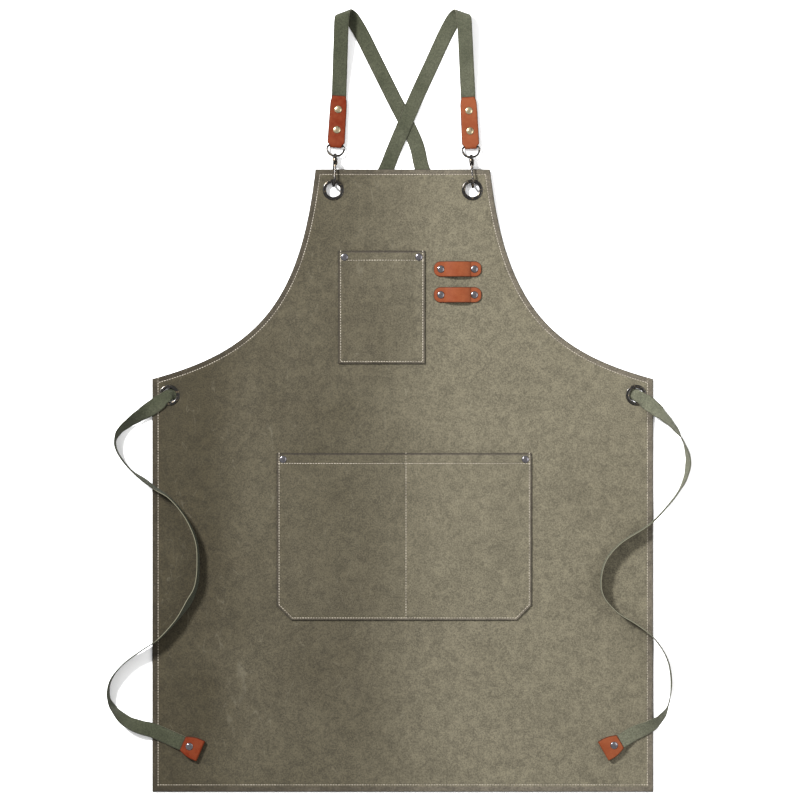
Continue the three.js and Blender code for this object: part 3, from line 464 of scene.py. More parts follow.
def net(outline, depths, seams, holes, spacing):
    """A triangle net inside an outline: rings along its edge, rows along its seams, circles round its
    holes and a staggered field between them. Gives its points, its triangles and which points bound it."""
    circles = []
    for x, y, radius in holes:
        sides = 40 if radius > 5 else 12
        turn = [2 * math.pi * step / sides for step in range(sides)]
        circles.append([(x + radius * math.cos(a), y + radius * math.sin(a)) for a in turn])
    bounds = [np.asarray(outline)] + [np.asarray(circle) for circle in circles]
    rings = [inner_ring(outline, depth) for depth in depths]
    rows = []
    for seam in seams:
        line = np.asarray(seam, dtype=float)
        along = np.gradient(line, axis=0)
        across = np.stack([-along[:, 1], along[:, 0]], axis=1) / np.hypot(*along.T)[:, None]
        rows += [line + across * shift for shift in (-2.4, -1.2, 0, 1.2, 2.4)]
    low, high = bounds[0].min(0), bounds[0].max(0)
    xs = np.arange(low[0], high[0], spacing)
    ys = np.arange(low[1], high[1], spacing * 0.866)
    gx, gy = np.meshgrid(xs, ys)
    gx = gx + (np.arange(len(ys)) % 2)[:, None] * spacing / 2
    field = np.stack([gx.ravel(), gy.ravel()], axis=1)
    field = field[inside(field, [tuple(p) for p in outline])]
    field = field[distances(field, outline) > depths[-1] + spacing * 0.55]
    for seam in seams:
        field = field[distances(field, seam, closed=False) > 2.4 + spacing * 0.4]
    if rows:
        rows = np.concatenate(rows)
        rows = rows[inside(rows, [tuple(p) for p in outline])]
        rows = rows[distances(rows, outline) > depths[-1] + 0.6]
    free = np.concatenate([*rings, field] + ([rows] if len(rows) else []))
    for x, y, radius in holes:
        free = free[np.hypot(free[:, 0] - x, free[:, 1] - y) > radius + 0.7]
    points = [Vector(p) for p in np.concatenate([*bounds, free])]
    edges, start = [], 0
    for line in bounds:
        edges += [(start + step, start + (step + 1) % len(line)) for step in range(len(line))]
        start += len(line)
    places, _, triangles, origins, _, _ = delaunay_2d_cdt(points, edges, [], 0, 1e-4)
    places = np.array([tuple(place) for place in places])
    bound = np.array([any(origin < start for origin in source) for source in origins])
    outer = np.array([any(origin < len(outline) for origin in source) for source in origins])
    triangles = np.array([tuple(triangle) for triangle in triangles])
    centres = places[triangles].mean(1)
    keep = np.ones(len(triangles), dtype=bool)
    doubtful = bound[triangles].all(1)
    keep[doubtful] = inside(centres[doubtful], [tuple(p) for p in outline])
    for x, y, radius in holes:
        keep &= np.hypot(centres[:, 0] - x, centres[:, 1] - y) > radius * 0.97
    return places, triangles[keep], bound, outer


def cloth_sheet(outline, depths, seams, holes, spacing, top, bottom):
    """A closed sheet over a net, whose two sides meet at its rounded outer edge. top and bottom give heights
    for arrays of x, y and distance from the edge."""
    places, triangles, _, outer = net(outline, depths, seams, holes, spacing)
    x, y = places.T
    edge = distances(places, outline)
    edge[outer] = 0
    points = [np.stack([x, y, top(x, y, edge)], axis=1)]
    under_index = np.arange(len(places))
    own = np.where(~outer)[0]
    under_index[own] = len(places) + np.arange(len(own))
    points.append(np.stack([x[own], y[own], bottom(x[own], y[own], edge[own])], axis=1))
    faces = [tuple(int(i) for i in triangle) for triangle in triangles]
    faces += [tuple(int(under_index[i]) for i in triangle[::-1]) for triangle in triangles]
    counted = {}
    for triangle in triangles:
        for a, b in zip(triangle, np.roll(triangle, -1)):
            key = (int(min(a, b)), int(max(a, b)))
            counted[key] = counted.get(key, 0) + 1
    for (a, b), times in counted.items():
        if times == 1 and not outer[a] and not outer[b]:
            faces.append((a, b, int(under_index[b]), int(under_index[a])))
    return np.concatenate(points), faces, np.concatenate([edge, edge[own]])


def rounded_down(edge, radius):
    """How far a folded edge falls away at a distance from its outermost line."""
    away = np.clip(1 - edge / radius, 0, 1)
    return radius - np.sqrt(np.maximum(radius ** 2 - (radius * away) ** 2, 0))


def ripple(x, y):
    """A slight unevenness of the lying cloth, downwards only."""
    waves = (np.sin(x / 31 + 1.7 * np.sin(y / 83)) * np.sin(y / 47 + 0.6)
             + 0.6 * np.sin(x / 17 - y / 23 + 2 * np.sin(x / 71)) + 0.4 * np.sin(x / 11 + y / 13))
    return waves / 4 - 0.5


def armhole(side, steps=90):
    """The curve of an armhole from its shoulder corner up to the corner of the bib."""
    sign = -1 if side == "left" else 1
    low, high = math.radians(ARMHOLE_SHOULDER_ANGLE), math.radians(ARMHOLE_BIB_ANGLE)
    low_handle = 0.66 * (PANEL_HALF - BIB_HALF)
    high_handle = 0.647 * (PANEL_HEIGHT - SHOULDER_HEIGHT)
    start, finish = Vector((PANEL_HALF, SHOULDER_HEIGHT)), Vector((BIB_HALF, PANEL_HEIGHT))
    first = start + Vector((-math.cos(low), math.sin(low))) * low_handle
    second = finish + Vector((math.sin(high), -math.cos(high))) * high_handle
    places = []
    for step in range(steps + 1):
        t = step / steps
        s = 1 - t
        p = start * s ** 3 + 3 * first * s * s * t + 3 * second * s * t * t + finish * t ** 3
        places.append((sign * p.x, p.y))
    return places


def panel_outline():
    right = armhole("right")
    left = armhole("left")[::-1]
    corners = [(-PANEL_HALF, 0), (PANEL_HALF, 0)]
    outline = resampled(corners, 4, closed=False)[:-1]
    outline += resampled([corners[1], right[0]], 4, closed=False)[:-1]
    outline += right[:-1]
    outline += resampled([right[-1], left[0]], 4, closed=False)[:-1]
    outline += left[:-1]
    outline += resampled([left[-1], corners[0]], 4, closed=False)[:-1]
    return outline


def offset_line(line, depth):
    """A line moved to its left by depth, at its start and end along its own normals."""
    places = np.asarray(line, dtype=float)
    along = np.gradient(places, axis=0)
    along /= np.hypot(*along.T)[:, None]
    return [(x - ty * depth, y + tx * depth) for (x, y), (tx, ty) in zip(places, along)]


SIDE_SEAM = 8
TOP_SEAM = 7
BOTTOM_SEAM = 9.6


def panel_seams():
    """The rows of stitches on the panel, each a line of places."""
    seams = []
    side_x = PANEL_HALF - SIDE_SEAM
    for side, sign in (("left", -1), ("right", 1)):
        curve = armhole(side, 200)
        top = min(curve, key=lambda place: abs(abs(place[0]) - side_x))[1]
        seams.append([(sign * side_x, BOTTOM_SEAM), (sign * side_x, top - 1.5)])
        line = offset_line(curve, TOP_SEAM * sign)
        line = [place for place in line if abs(place[0]) < side_x - 1 and place[1] < PANEL_HEIGHT - TOP_SEAM]
        seams.append(line)
    seams.append([(-side_x, BOTTOM_SEAM), (side_x, BOTTOM_SEAM)])
    top_end = BIB_HALF - TOP_SEAM
    seams.append([(-top_end, PANEL_HEIGHT - TOP_SEAM), (top_end, PANEL_HEIGHT - TOP_SEAM)])
    return [resampled(seam, 4, closed=False) for seam in seams]


def seam_dip(x, y, seams, depth):
    """How far the cloth is drawn down along its stitches."""
    places = np.stack([x, y], axis=1)
    nearest = np.min([distances(places, seam, closed=False) for seam in seams], axis=0)
    return depth * np.exp(-(nearest / 1.3) ** 2)


def panel_top(x, y, edge, sizes):
    flat = smooth((edge - HEM_WIDTH) / 12)
    height = SHEET_TOP + lift(x, y) + 2 * sizes.cloth_wave / MM * ripple(x, y) * flat
    ridge = 0.15 * smooth((edge - 1) / 4) * (1 - smooth((edge - 10) / 1.6))
    return height + ridge - 0.15 * smooth((edge - 1) / 4) - rounded_down(edge, SHEET_TOP / 2)


def panel_bottom(x, y, edge, sizes):
    flat = smooth((edge - HEM_WIDTH) / 12)
    step = HEM_THICKNESS * smooth((edge - HEM_WIDTH + 0.3) / 0.6)
    waves = 2 * sizes.cloth_wave / MM * ripple(x, y) * flat
    return lift(x, y) + step + waves + rounded_down(edge, SHEET_TOP / 2)


def pocket_outline(pocket, spacing=4):
    half, foot = pocket["width"] / 2, pocket["foot"]
    corner, top = pocket["corner"], pocket["foot"] + pocket["height"]
    centre = pocket["centre"]
    corners = [(centre + half, top), (centre - half, top)]
    if corner:
        corners += [(centre - half, foot + corner), (centre - half + corner, foot),
                    (centre + half - corner, foot), (centre + half, foot + corner)]
    else:
        corners += [(centre - half, foot), (centre + half, foot)]
    return resampled(corners, spacing)


def pocket_seams(pocket):
    """Stitches down the sides and along the foot, along the top hem and down each divider."""
    inset = 3.3
    half, foot = pocket["width"] / 2 - inset, pocket["foot"] + inset
    top, centre = pocket["foot"] + pocket["height"], pocket["centre"]
    cut = pocket["corner"] and pocket["corner"] - inset * (2 - math.sqrt(2))
    line = [(centre - half, top - 0.6), (centre - half, foot + cut)]
    if cut:
        line += [(centre - half + cut, foot), (centre + half - cut, foot)]
    else:
        line += [(centre + half, foot)]
    line += [(centre + half, foot + cut), (centre + half, top - 0.6)]
    line = list(dict.fromkeys(line))
    hem = top - pocket["hem_seam"]
    seams = [line, [(centre - half, hem), (centre + half, hem)]]
    for share in pocket["dividers"]:
        x = centre + (share - 0.5) * pocket["width"]
        seams.append([(x, top - 0.6), (x, foot)])
    return [resampled(seam, 4, closed=False) for seam in seams]


def pocket_hold(pocket, x):
    """How free the pocket is to stand open at each place across it, from 0 at its seams to 1 between them."""
    flat = (POCKET_RIVET_INSET + RIVET_CAP + 1) / pocket["width"]
    seams = [flat, *pocket["dividers"], 1 - flat]
    u = (x - pocket["centre"]) / pocket["width"] + 0.5
    hold = np.zeros_like(u)
    for start, end in zip(seams, seams[1:]):
        share = np.clip((u - start) / (end - start), 0, 1)
        hold = np.maximum(hold, np.maximum(np.sin(np.pi * share), 0) ** 0.7)
    return hold


def pocket_floor(pocket, x, y):
    v = np.clip((y - pocket["foot"]) / pocket["height"], 0, 1)
    rise = pocket["bulge"] * pocket_hold(pocket, x) * np.sin(v * np.pi / 2) ** 0.9
    return SHEET_TOP + CLEARANCE + lift(x, y) + rise


def pocket_top(pocket, x, y, edge, seams):
    height = pocket_floor(pocket, x, y) + POCKET_HEM + CLOTH
    top = pocket["foot"] + pocket["height"]
    band = smooth((POCKET_HEM_WIDTH - (top - y)) / 1.2)
    settled = 0.25 * smooth((edge - POCKET_TURN) / 2) * (1 - band)
    return height - settled - rounded_down(edge, (POCKET_HEM + CLOTH) / 2) - seam_dip(x, y, seams, 0.25)


def pocket_bottom(pocket, x, y, edge):
    top = pocket["foot"] + pocket["height"]
    turned_in = np.maximum(1 - smooth((edge - POCKET_TURN + 0.3) / 0.6),
                           smooth((POCKET_HEM_WIDTH + 0.3 - (top - y)) / 0.6))
    rounding = rounded_down(edge, (POCKET_HEM + CLOTH) / 2)
    return pocket_floor(pocket, x, y) + POCKET_HEM * (1 - turned_in) + rounding


# Strips of webbing and leather


def strip_shares(half_width, thickness, between=6):
    """Places across a strip from -1 to 1, close together where its edges are rounded."""
    radius = thickness / 2
    near = [1 - radius * back / half_width for back in (0, 0.13, 0.5, 1)]
    inner = [near[-1] * (1 - 2 * step / (between + 1)) for step in range(1, between + 1)]
    return [-share for share in near] + [-share for share in inner] + near[::-1]


def strip(stations, thickness, between=6, rounded_ends=True):
    """A closed strip with rounded edges. Each station is (place, half_width), where place(share) gives the
    middle of its thickness and the direction of its face. Gives points, faces, edge distances and uv."""
    points, edge, uv, rings = [], [], [], []
    middles = [place(0)[0] for place, _ in stations]
    along = [0]
    for start, end in zip(middles, middles[1:]):
        along.append(along[-1] + (end - start).length)
    for (place, half_width), travelled in zip(stations, along):
        to_end = min(travelled, along[-1] - travelled)
        squeeze = 1
        if rounded_ends:
            squeeze = math.sqrt(max(0, 1 - max(0, 1 - to_end / (thickness / 2)) ** 2)) * 0.7 + 0.3
        ring_top, ring_under = [], []
        for share in strip_shares(half_width, thickness, between):
            middle, face = place(share)
            gap = (1 - abs(share)) * half_width
            round_off = math.sqrt(max(0, 1 - max(0, 1 - gap / (thickness / 2)) ** 2))
            height = thickness / 2 * round_off * squeeze
            for ring, sign in ((ring_top, 1), (ring_under, -1)):
                if sign < 0 and round_off == 0:
                    ring.append(ring_top[-1])
                    continue
                ring.append(len(points))
                points.append(middle + face * height * sign)
                edge.append(min(gap, to_end))
                uv.append((share * half_width * MM, travelled * MM))
        rings.append((ring_top, ring_under))
    faces = []
    for (top, under), (next_top, next_under) in zip(rings, rings[1:]):
        for step in range(len(top) - 1):
            faces.append((top[step], top[step + 1], next_top[step + 1], next_top[step]))
            faces.append((under[step], next_under[step], next_under[step + 1], under[step + 1]))
    for top, under in (rings[0], rings[-1]):
        for step in range(len(top) - 1):
            faces.append(tuple(dict.fromkeys((top[step], top[step + 1], under[step + 1], under[step]))))
    return points, faces, edge, uv


def flat_station(middle, across, face, half_width, bend=None):
    """A station whose columns lie on one line, or are lifted along its face by bend(share)."""
    middle, across, face = Vector(middle), Vector(across), Vector(face)

    def place(share):
        lifted = bend(share) if bend else 0
        return middle + across * share * half_width + face * lifted, face

    return place, half_width


def tie_point(side, out, down):
    sign = -1 if side == "left" else 1
    return Vector((sign * (SIDE_EYELET[0] + out * TIE_SWING), SIDE_EYELET[1] - down * TIE_DROP))


def tip_place(side):
    """The middle of a tip's folded end and the direction from there back along the tie."""
    route = TIE_ROUTES[side]
    end = tie_point(side, *route[-1][:2])
    before = tie_point(side, *route[-2][:2])
    return end, (before - end).normalized()


def tab_point(side, along):
    tab = TABS[side]
    angle = math.radians(tab["lean"])
    return Vector((tab["x"] - along * math.sin(angle), tab["y"] + along * math.cos(angle)))


def eyelet_top(x, y):
    return float(lift(x, y)) + SHEET_TOP + CLEARANCE + EYELET_RIM


def seat_below(x, y, margin):
    """The height of whatever lies below a point of a tie: the surface, the panel or an eyelet on it."""
    slope = 20
    outside = abs(x) - PANEL_HALF
    panel_x = math.copysign(min(abs(x), PANEL_HALF), x)
    over_panel = (SHEET_TOP + CLEARANCE + lift(panel_x, y)) * smooth(1 - (outside - margin) / slope)
    to_eyelet = math.hypot(abs(x) - SIDE_EYELET[0], y - SIDE_EYELET[1]) - EYELET_FLANGE
    eyelet_seat = eyelet_top(*SIDE_EYELET) + CLEARANCE
    over_eyelet = (eyelet_seat - over_panel) * smooth(1 - (to_eyelet - margin / 4) / slope)
    return float(over_panel + over_eyelet)


def fold_stations(side, fold_centre, away):
    """From the tab up to the fold and half way round an upright roll."""
    tab_end = tab_point(side, TAB_LENGTH)
    coming = (fold_centre - tab_end).normalized()
    axis = (coming + away).normalized()
    outward_way = (coming - away).normalized()
    along_axis, around_roll = coming.dot(axis), coming.dot(outward_way)
    handed = math.copysign(1, outward_way.y * axis.x - outward_way.x * axis.y)
    lowest = STRAP / 2
    fold_top = lowest + 2 * STRAP_FOLD

    def on_roll(length, share):
        width = -share * STRAP_WIDTH / 2 * handed
        around = length * around_roll - width * along_axis
        angle = min(max(around / STRAP_FOLD, 0), math.pi)
        past = around - STRAP_FOLD * angle
        slide = length * along_axis + width * around_roll
        slide -= STRAP_FOLD * math.pi / 2 * along_axis / around_roll
        out = STRAP_FOLD * math.sin(angle) + past * math.cos(angle)
        spot = fold_centre + axis * slide + outward_way * out
        middle = Vector((*spot, lowest + STRAP_FOLD * (1 + math.cos(angle))))
        return middle, Vector((*(-outward_way * math.sin(angle)), -math.cos(angle)))

    round_roll = math.pi * STRAP_FOLD / around_roll
    overlap = STRAP_WIDTH / 2 * along_axis / around_roll
    first = on_roll(-overlap, 0)[0].to_2d()
    tab_strap = TAB_FLOOR + LEATHER + TAB_SPACE / 2
    across = (-coming.y, coming.x, 0)
    stations = []

    def flat(spot, height):
        stations.append(flat_station((*spot, height), across, (0, 0, -1), STRAP_WIDTH / 2))

    hidden_end = tab_point(side, TAB_RIVETS_AT[0] - 9)
    for step in range(12):
        flat(hidden_end.lerp(tab_end, step / 12), tab_strap)
    for step in range(30):
        share = step / 30
        rise = smooth(0.1 + 0.9 * share) - smooth(0.1) * (1 - smooth(share * 8))
        flat(tab_end.lerp(first, share), tab_strap + (fold_top - tab_strap) * rise)
    for step in range(41):
        length = -overlap + step / 40 * (round_roll + 2 * overlap)
        stations.append((lambda share, length=length: on_roll(length, share), STRAP_WIDTH / 2))
    return stations, on_roll(round_roll + overlap, 0)[0].to_2d()


def run_stations(side, start):
    """From the fold to the end of the tie: the flat runs, the climb through the eyelet, the standing tie."""
    other = "right" if side == "left" else "left"
    sign = -1 if other == "left" else 1
    route = [(start, 0)]
    for across, up in CROSSING_ROUTES[side]["run"]:
        route.append((Vector((across * BIB_HALF, PANEL_HEIGHT + up * STRAP_REACH)), 0))
    route.append((Vector((STRAP_UNDER_HEM[other], PANEL_HEIGHT)), 0))
    for out, down in ROUTE_PAST_RIVETS:
        route.append((Vector((sign * out * OUTERMOST_RIVET, PANEL_HEIGHT - down * KEEPER_FROM_TOP)), 0))
    for out, down in ROUTE_ROUND_ARMHOLE:
        drop = PANEL_HEIGHT - SHOULDER_HEIGHT
        route.append((Vector((sign * out * PANEL_HALF, PANEL_HEIGHT - down * drop)), 0))
    eyelet_index = len(route)
    eyelet = Vector((sign * SIDE_EYELET[0], SIDE_EYELET[1]))
    route.append((eyelet, 0))
    route += [(tie_point(other, out, down), roll) for out, down, roll in TIE_ROUTES[other]]
    end, back = tip_place(other)
    mouth = end + back * TIP_LENGTH
    route[-1] = (end + back * 2.4 * LEATHER, 0)
    route.insert(-1, (mouth, 0))
    points = [Vector((*point, 0)) for point, _ in route]
    last = len(route) - 1
    crossing = Vector((STRAP_CROSSING[0] * BIB_HALF, PANEL_HEIGHT + STRAP_CROSSING[1] * STRAP_REACH))
    low, high = STRAP / 2, eyelet_top(*SIDE_EYELET) + CLEARANCE + STRAP / 2
    near = 16
    hole = EYELET_HOLE - CLEARANCE
    stations = []

    def station(t):
        index = min(int(t), last - 1)
        share = t - index
        point = curve_place(points, t)
        along = unit(curve_place(points, min(t + 0.01, last)) - curve_place(points, max(t - 0.01, 0)))
        gap = math.hypot(point.x - eyelet.x, point.y - eyelet.y)
        before = t < eyelet_index
        turn = route[index][1] + (route[index + 1][1] - route[index][1]) * float(smooth(share))
        roll = math.radians(turn) * float(smooth((gap - EYELET_FLANGE) / 14))
        flat = abs(math.cos(roll))
        height = STRAP_WIDTH / 2 * abs(math.sin(roll)) + STRAP / 2 * flat
        if not before:
            height += seat_below(point.x, point.y, 12 + STRAP_WIDTH / 2 * flat)
            to_mouth = math.hypot(point.x - mouth.x, point.y - mouth.y)
            in_tip = 1 if t > last - 1 else float(smooth(1 - to_mouth / 45))
            height = max(height, (in_tip if t > last - 6 else 0) * TIP_STRAP_HEIGHT)
        elif side == "right":
            apart = math.hypot(point.x - crossing.x, point.y - crossing.y)
            height += (STRAP + CLEARANCE) * float(smooth((42 - apart) / 17))
        half_width = STRAP_WIDTH / 2 - STRAP_PINCH * float(smooth((near - gap) / 8))
        bend = None
        if gap < near:
            height = low if before else high

            def bend(share, height=height, gap=gap):
                rim = math.sqrt(hole ** 2 - (share * (STRAP_WIDTH / 2 - STRAP_PINCH)) ** 2)
                step = -gap if before else gap
                return low + (high - low) * float(smooth((step + rim - 1.4) / 5.6)) - height

        side_way = Vector((along.y, -along.x, 0))
        up = Vector((0, 0, 1))
        across = side_way * math.cos(roll) + up * math.sin(roll)
        face = up * math.cos(roll) - side_way * math.sin(roll)
        stations.append(flat_station((point.x, point.y, height), across, face, half_width, bend))

    for index in range(last):
        length = (route[index + 1][0] - route[index][0]).length
        at_eyelet = index in (eyelet_index - 1, eyelet_index)
        steps = max(1, round(length / (1.0 if at_eyelet else 3.2)))
        for step in range(1 if index == 0 else 0, steps):
            station(index + step / steps)
    station(last)
    return stations


def strap_stations(side):
    route = CROSSING_ROUTES[side]
    fold = Vector((route["fold"][0] * BIB_HALF, PANEL_HEIGHT + route["fold"][1] * STRAP_REACH))
    after = Vector((route["run"][0][0] * BIB_HALF, PANEL_HEIGHT + route["run"][0][1] * STRAP_REACH))
    stations, end = fold_stations(side, fold, (after - fold).normalized())
    return stations + run_stations(side, end)


def folded_leather(length, floor, fold_gap, inside_at, half_width_at):
    """Leather folded over at its foot, y = 0, with both ends at y = length, from its upper end round
    the fold to its lower end."""
    middle = LEATHER / 2
    radius = fold_gap / 2 + middle
    fold_at = fold_gap / 2 + LEATHER
    low = floor + middle
    shares = [1, 0.995, 0.985, 0.97] + [0.94 - 0.04 * step for step in range(24)]
    runs = [fold_at + share * (length - fold_at) for share in shares if share > 0.001] + [fold_at]
    across = (1, 0, 0)
    stations = []
    for y in runs:
        height = low + LEATHER + inside_at(y)
        stations.append(flat_station((0, y, height), across, (0, 0, 1), half_width_at(y / length)))
    for step in range(1, 12):
        angle = math.pi * step / 12
        middle_place = (0, fold_at - radius * math.sin(angle), low + radius * (1 + math.cos(angle)))
        face = (0, -math.sin(angle), math.cos(angle))
        stations.append(flat_station(middle_place, across, face, half_width_at(0)))
    for y in reversed(runs):
        stations.append(flat_station((0, y, low), across, (0, 0, -1), half_width_at(y / length)))
    return stations


def tab_stations():
    taper = 5 * BAIL_WIRE

    def inside_at(y):
        return TAB_SPACE + (TAB_BAR_SPACE - TAB_SPACE) * float(smooth(1 - (y - BAR_AT) / taper))

    def half_width_at(share):
        between_arms = BAIL_WIDTH / 2 - BAIL_WIRE - 5 * CLEARANCE
        corner = max(0, (share - 0.83) / 0.17)
        spread = float(smooth((share * TAB_LENGTH - BAR_AT) / BAIL_WIRE))
        side = 0.5 * (TAB_WIDTH - 1.6 * share) - 0.1 * TAB_WIDTH * corner ** 2
        return between_arms + (side - between_arms) * spread

    return folded_leather(TAB_LENGTH, TAB_FLOOR, TAB_BAR_SPACE, inside_at, half_width_at)


def tip_stations():
    def half_width_at(share):
        return 0.5 * TIP_WIDTH - 0.17 * TIP_WIDTH * max(0, (share - 0.3) / 0.7) ** 1.8

    return folded_leather(TIP_LENGTH, TIP_FLOOR, TAB_SPACE, lambda y: TAB_SPACE, half_width_at)


def keeper_stations(y):
    """A keeper loop: flat at its riveted, rounded ends, arched between them."""
    seat = SHEET_TOP + CLEARANCE + LEATHER / 2
    end_radius = 0.45 * KEEPER_WIDTH
    arch_start = (KEEPER_RIVETS / 2 - RIVET_CAP) / (KEEPER_LENGTH / 2)
    half = KEEPER_LENGTH / 2
    fine_ends = [math.cos(math.radians(a)) for a in range(4, 60, 8)]
    shares = [1 - (1 - c) * end_radius / half for c in fine_ends]
    inner = shares[-1]
    shares = [-s for s in shares] + [inner * (2 * step / 60 - 1) for step in range(1, 60)] + shares[::-1]
    middles = []
    for share in shares:
        arch = math.cos(share / arch_start * math.pi / 2) ** 0.55 if abs(share) < arch_start else 0
        middles.append(Vector((KEEPER_CENTRE + share * half, y, seat + KEEPER_ARCH * arch)))
    stations = []
    for index, (share, middle) in enumerate(zip(shares, middles)):
        ahead = middles[min(index + 1, len(middles) - 1)]
        behind = middles[max(index - 1, 0)]
        along = unit(ahead - behind)
        face = Vector((-along.z, 0, along.x))
        past = max(0, abs(share) * half - (half - end_radius))
        rounded = end_radius - math.sqrt(max(0, end_radius ** 2 - past ** 2))
        stations.append(flat_station(middle, (0, 1, 0), face, KEEPER_WIDTH / 2 - rounded))
    return stations


# Metal shapes


def rivet_shape(low, high, back_sides=40):
    """A rivet between two heights: a domed cap, a post and a domed back, standing at the middle."""
    front, back = high - RIVET_CAP_HEIGHT, low + RIVET_BACK_HEIGHT
    profile = [(0, low), (RIVET_BACK * 0.6, low + 0.05), (RIVET_BACK - 0.3, low + 0.3)]
    profile += [(RIVET_BACK, low + 0.65), (RIVET_BACK - 0.15, back), (RIVET_POST, back), (RIVET_POST, front)]
    profile += [(RIVET_CAP - 0.35, front), (RIVET_CAP - 0.05, front + 0.12), (RIVET_CAP, front + 0.35)]
    for step in range(9):
        angle = math.radians(90 * step / 8)
        profile.append(((RIVET_CAP - 0.25) * math.cos(angle),
                        front + 0.5 + (RIVET_CAP_HEIGHT - 0.5) * math.sin(angle)))
    profile[-1] = (0, high)
    return turned(profile, back_sides)


def eyelet_shape(low, high):
    """A clenched eyelet: a rolled flange above, a tube and a plain flange below."""
    top = high - EYELET_RIM
    wall = EYELET_HOLE + 0.8
    middle = (EYELET_HOLE + EYELET_FLANGE) / 2
    half = (EYELET_FLANGE - EYELET_HOLE) / 2
    profile = [(EYELET_HOLE, low + 0.25), (EYELET_HOLE + 0.3, low), (11.3, low), (11.7, low + 0.3)]
    profile += [(11.7, low + 0.6), (11.4, low + EYELET_RIM), (wall, low + EYELET_RIM), (wall, top)]
    profile += [(EYELET_FLANGE - 0.2, top)]
    for step in range(13):
        angle = math.radians(-6 + 192 * step / 12)
        rise = (EYELET_RIM - 0.1) * max(0, math.sin(angle))
        profile.append((middle + half * math.cos(angle), top + 0.1 + rise))
    profile[-1] = (EYELET_HOLE, top + 0.1)
    return turned(profile, 72)


def bail_shape():
    """The D shaped bail in the frame of its tab, with a boss for the hook's stem."""
    half = (BAIL_WIDTH - BAIL_WIRE) / 2
    drop = BAR_AT + BAIL_DROP
    outline = [(0, BAR_AT), (0.75, BAR_AT), (1, BAR_AT - 0.2 * drop), (0.97, -0.4 * BAIL_DROP),
               (0.68, -0.82 * BAIL_DROP), (0.3, -0.97 * BAIL_DROP), (0, -BAIL_DROP)]
    right = [Vector((x * half, y, BAR_HEIGHT + (SWIVEL_HEIGHT - BAR_HEIGHT) * (BAR_AT - y) / drop))
             for x, y in outline]
    left = [Vector((-p.x, p.y, p.z)) for p in right[-2:0:-1]]
    loop = wire(spline(right + left, 6, closed=True), BAIL_WIRE / 2, closed=True, sides=16)
    boss = turned([(0, -2), (BAIL_WIRE - 0.4, -2), (BAIL_WIRE, -1.6), (BAIL_WIRE, 1.6), (BAIL_WIRE - 0.4, 2),
                   (0, 2)], 32)
    bore = turned([(0, -10), (STEM + CLEARANCE, -10), (STEM + CLEARANCE, 10), (0, 10)], 32)
    stand = Matrix.Translation((0, -BAIL_DROP, SWIVEL_HEIGHT)) @ Matrix.Rotation(math.pi / 2, 4, "X")
    return combined(combined(loop, moved(boss, stand), "UNION"), moved(bore, stand), "DIFFERENCE")


STEM_HALF = 2 + CLEARANCE
BARREL_LENGTH = 6.7
BEND_RADIUS = HOOK_OPENING / 2
SPINE_HEIGHT = -(SWIVEL_HEIGHT - HOOK_WIRE / 2 - CLEARANCE)
BEND_CENTRE = (-HOOK_LENGTH + HOOK_WIRE / 2 + BEND_RADIUS, SPINE_HEIGHT + BEND_RADIUS)
NOSE_HEIGHT = SPINE_HEIGHT + HOOK_OPENING
GATE_HINGE = (-9.5, 4.6)
GATE_EYE = 2.2


def hook_shape():
    """The hook in its own frame: the stem turns on Y, the hook runs down -Y and its mouth is above."""
    foot = -STEM_HALF - BARREL_LENGTH
    route = [(foot + 1.4, -0.2), (foot - 1.2, -2), (foot - 5, SPINE_HEIGHT + 0.7), (foot - 9, SPINE_HEIGHT),
             (BEND_CENTRE[0], SPINE_HEIGHT)]
    for turn in (30, 60, 90, 120, 150, 180):
        angle = math.radians(turn)
        route.append((BEND_CENTRE[0] - BEND_RADIUS * math.sin(angle),
                      BEND_CENTRE[1] - BEND_RADIUS * math.cos(angle)))
    route.append((BEND_CENTRE[0] + 2.6, NOSE_HEIGHT - 0.1))
    bar = wire(spline([(0, y, z) for y, z in route], 6), HOOK_WIRE / 2)
    barrel = turned([
        (0, foot), (0.7 * BARREL, foot), (0.88 * BARREL, foot + 0.35), (BARREL, foot + 1.1),
        (BARREL, -STEM_HALF - 1.2), (0.92 * BARREL, -STEM_HALF - 0.6), (0.7 * BARREL, -STEM_HALF),
        (STEM, -STEM_HALF), (STEM, STEM_HALF), (1.75 * STEM, STEM_HALF), (1.9 * STEM, STEM_HALF + 0.3),
        (1.5 * STEM, STEM_HALF + 1), (1.1 * STEM, STEM_HALF + 1.2), (0, STEM_HALF + 1.2),
    ], 40)
    lie = Matrix.Rotation(-math.pi / 2, 4, "X")
    cheek_width, cheek_top = GATE_WIRE + 2 * CLEARANCE + 2.6, GATE_HINGE[1] + GATE_EYE + 0.3
    cheeks = cheek_block(cheek_width, 6, cheek_top)
    place = Matrix.Translation((0, GATE_HINGE[0], cheek_top / 2))
    body = combined(combined(bar, moved(barrel, lie), "UNION"), moved(cheeks, place), "UNION")
    slot_floor = GATE_HINGE[1] - GATE_EYE - CLEARANCE
    slot = plain_block(GATE_WIRE + 2 * CLEARANCE, 8, 12)
    reach = Matrix.Translation((0, GATE_HINGE[0] - 4 + GATE_EYE + CLEARANCE, slot_floor + 6))
    body = combined(body, moved(slot, reach), "DIFFERENCE")
    pin = turned([(0, -cheek_width / 2 - 0.35), (GATE_PIN, -cheek_width / 2 - 0.2),
                  (GATE_PIN, cheek_width / 2 + 0.2), (0, cheek_width / 2 + 0.35)], 24)
    sideways = Matrix.Translation((0, *GATE_HINGE)) @ Matrix.Rotation(math.pi / 2, 4, "Y")
    return combined(body, moved(pin, sideways), "UNION")


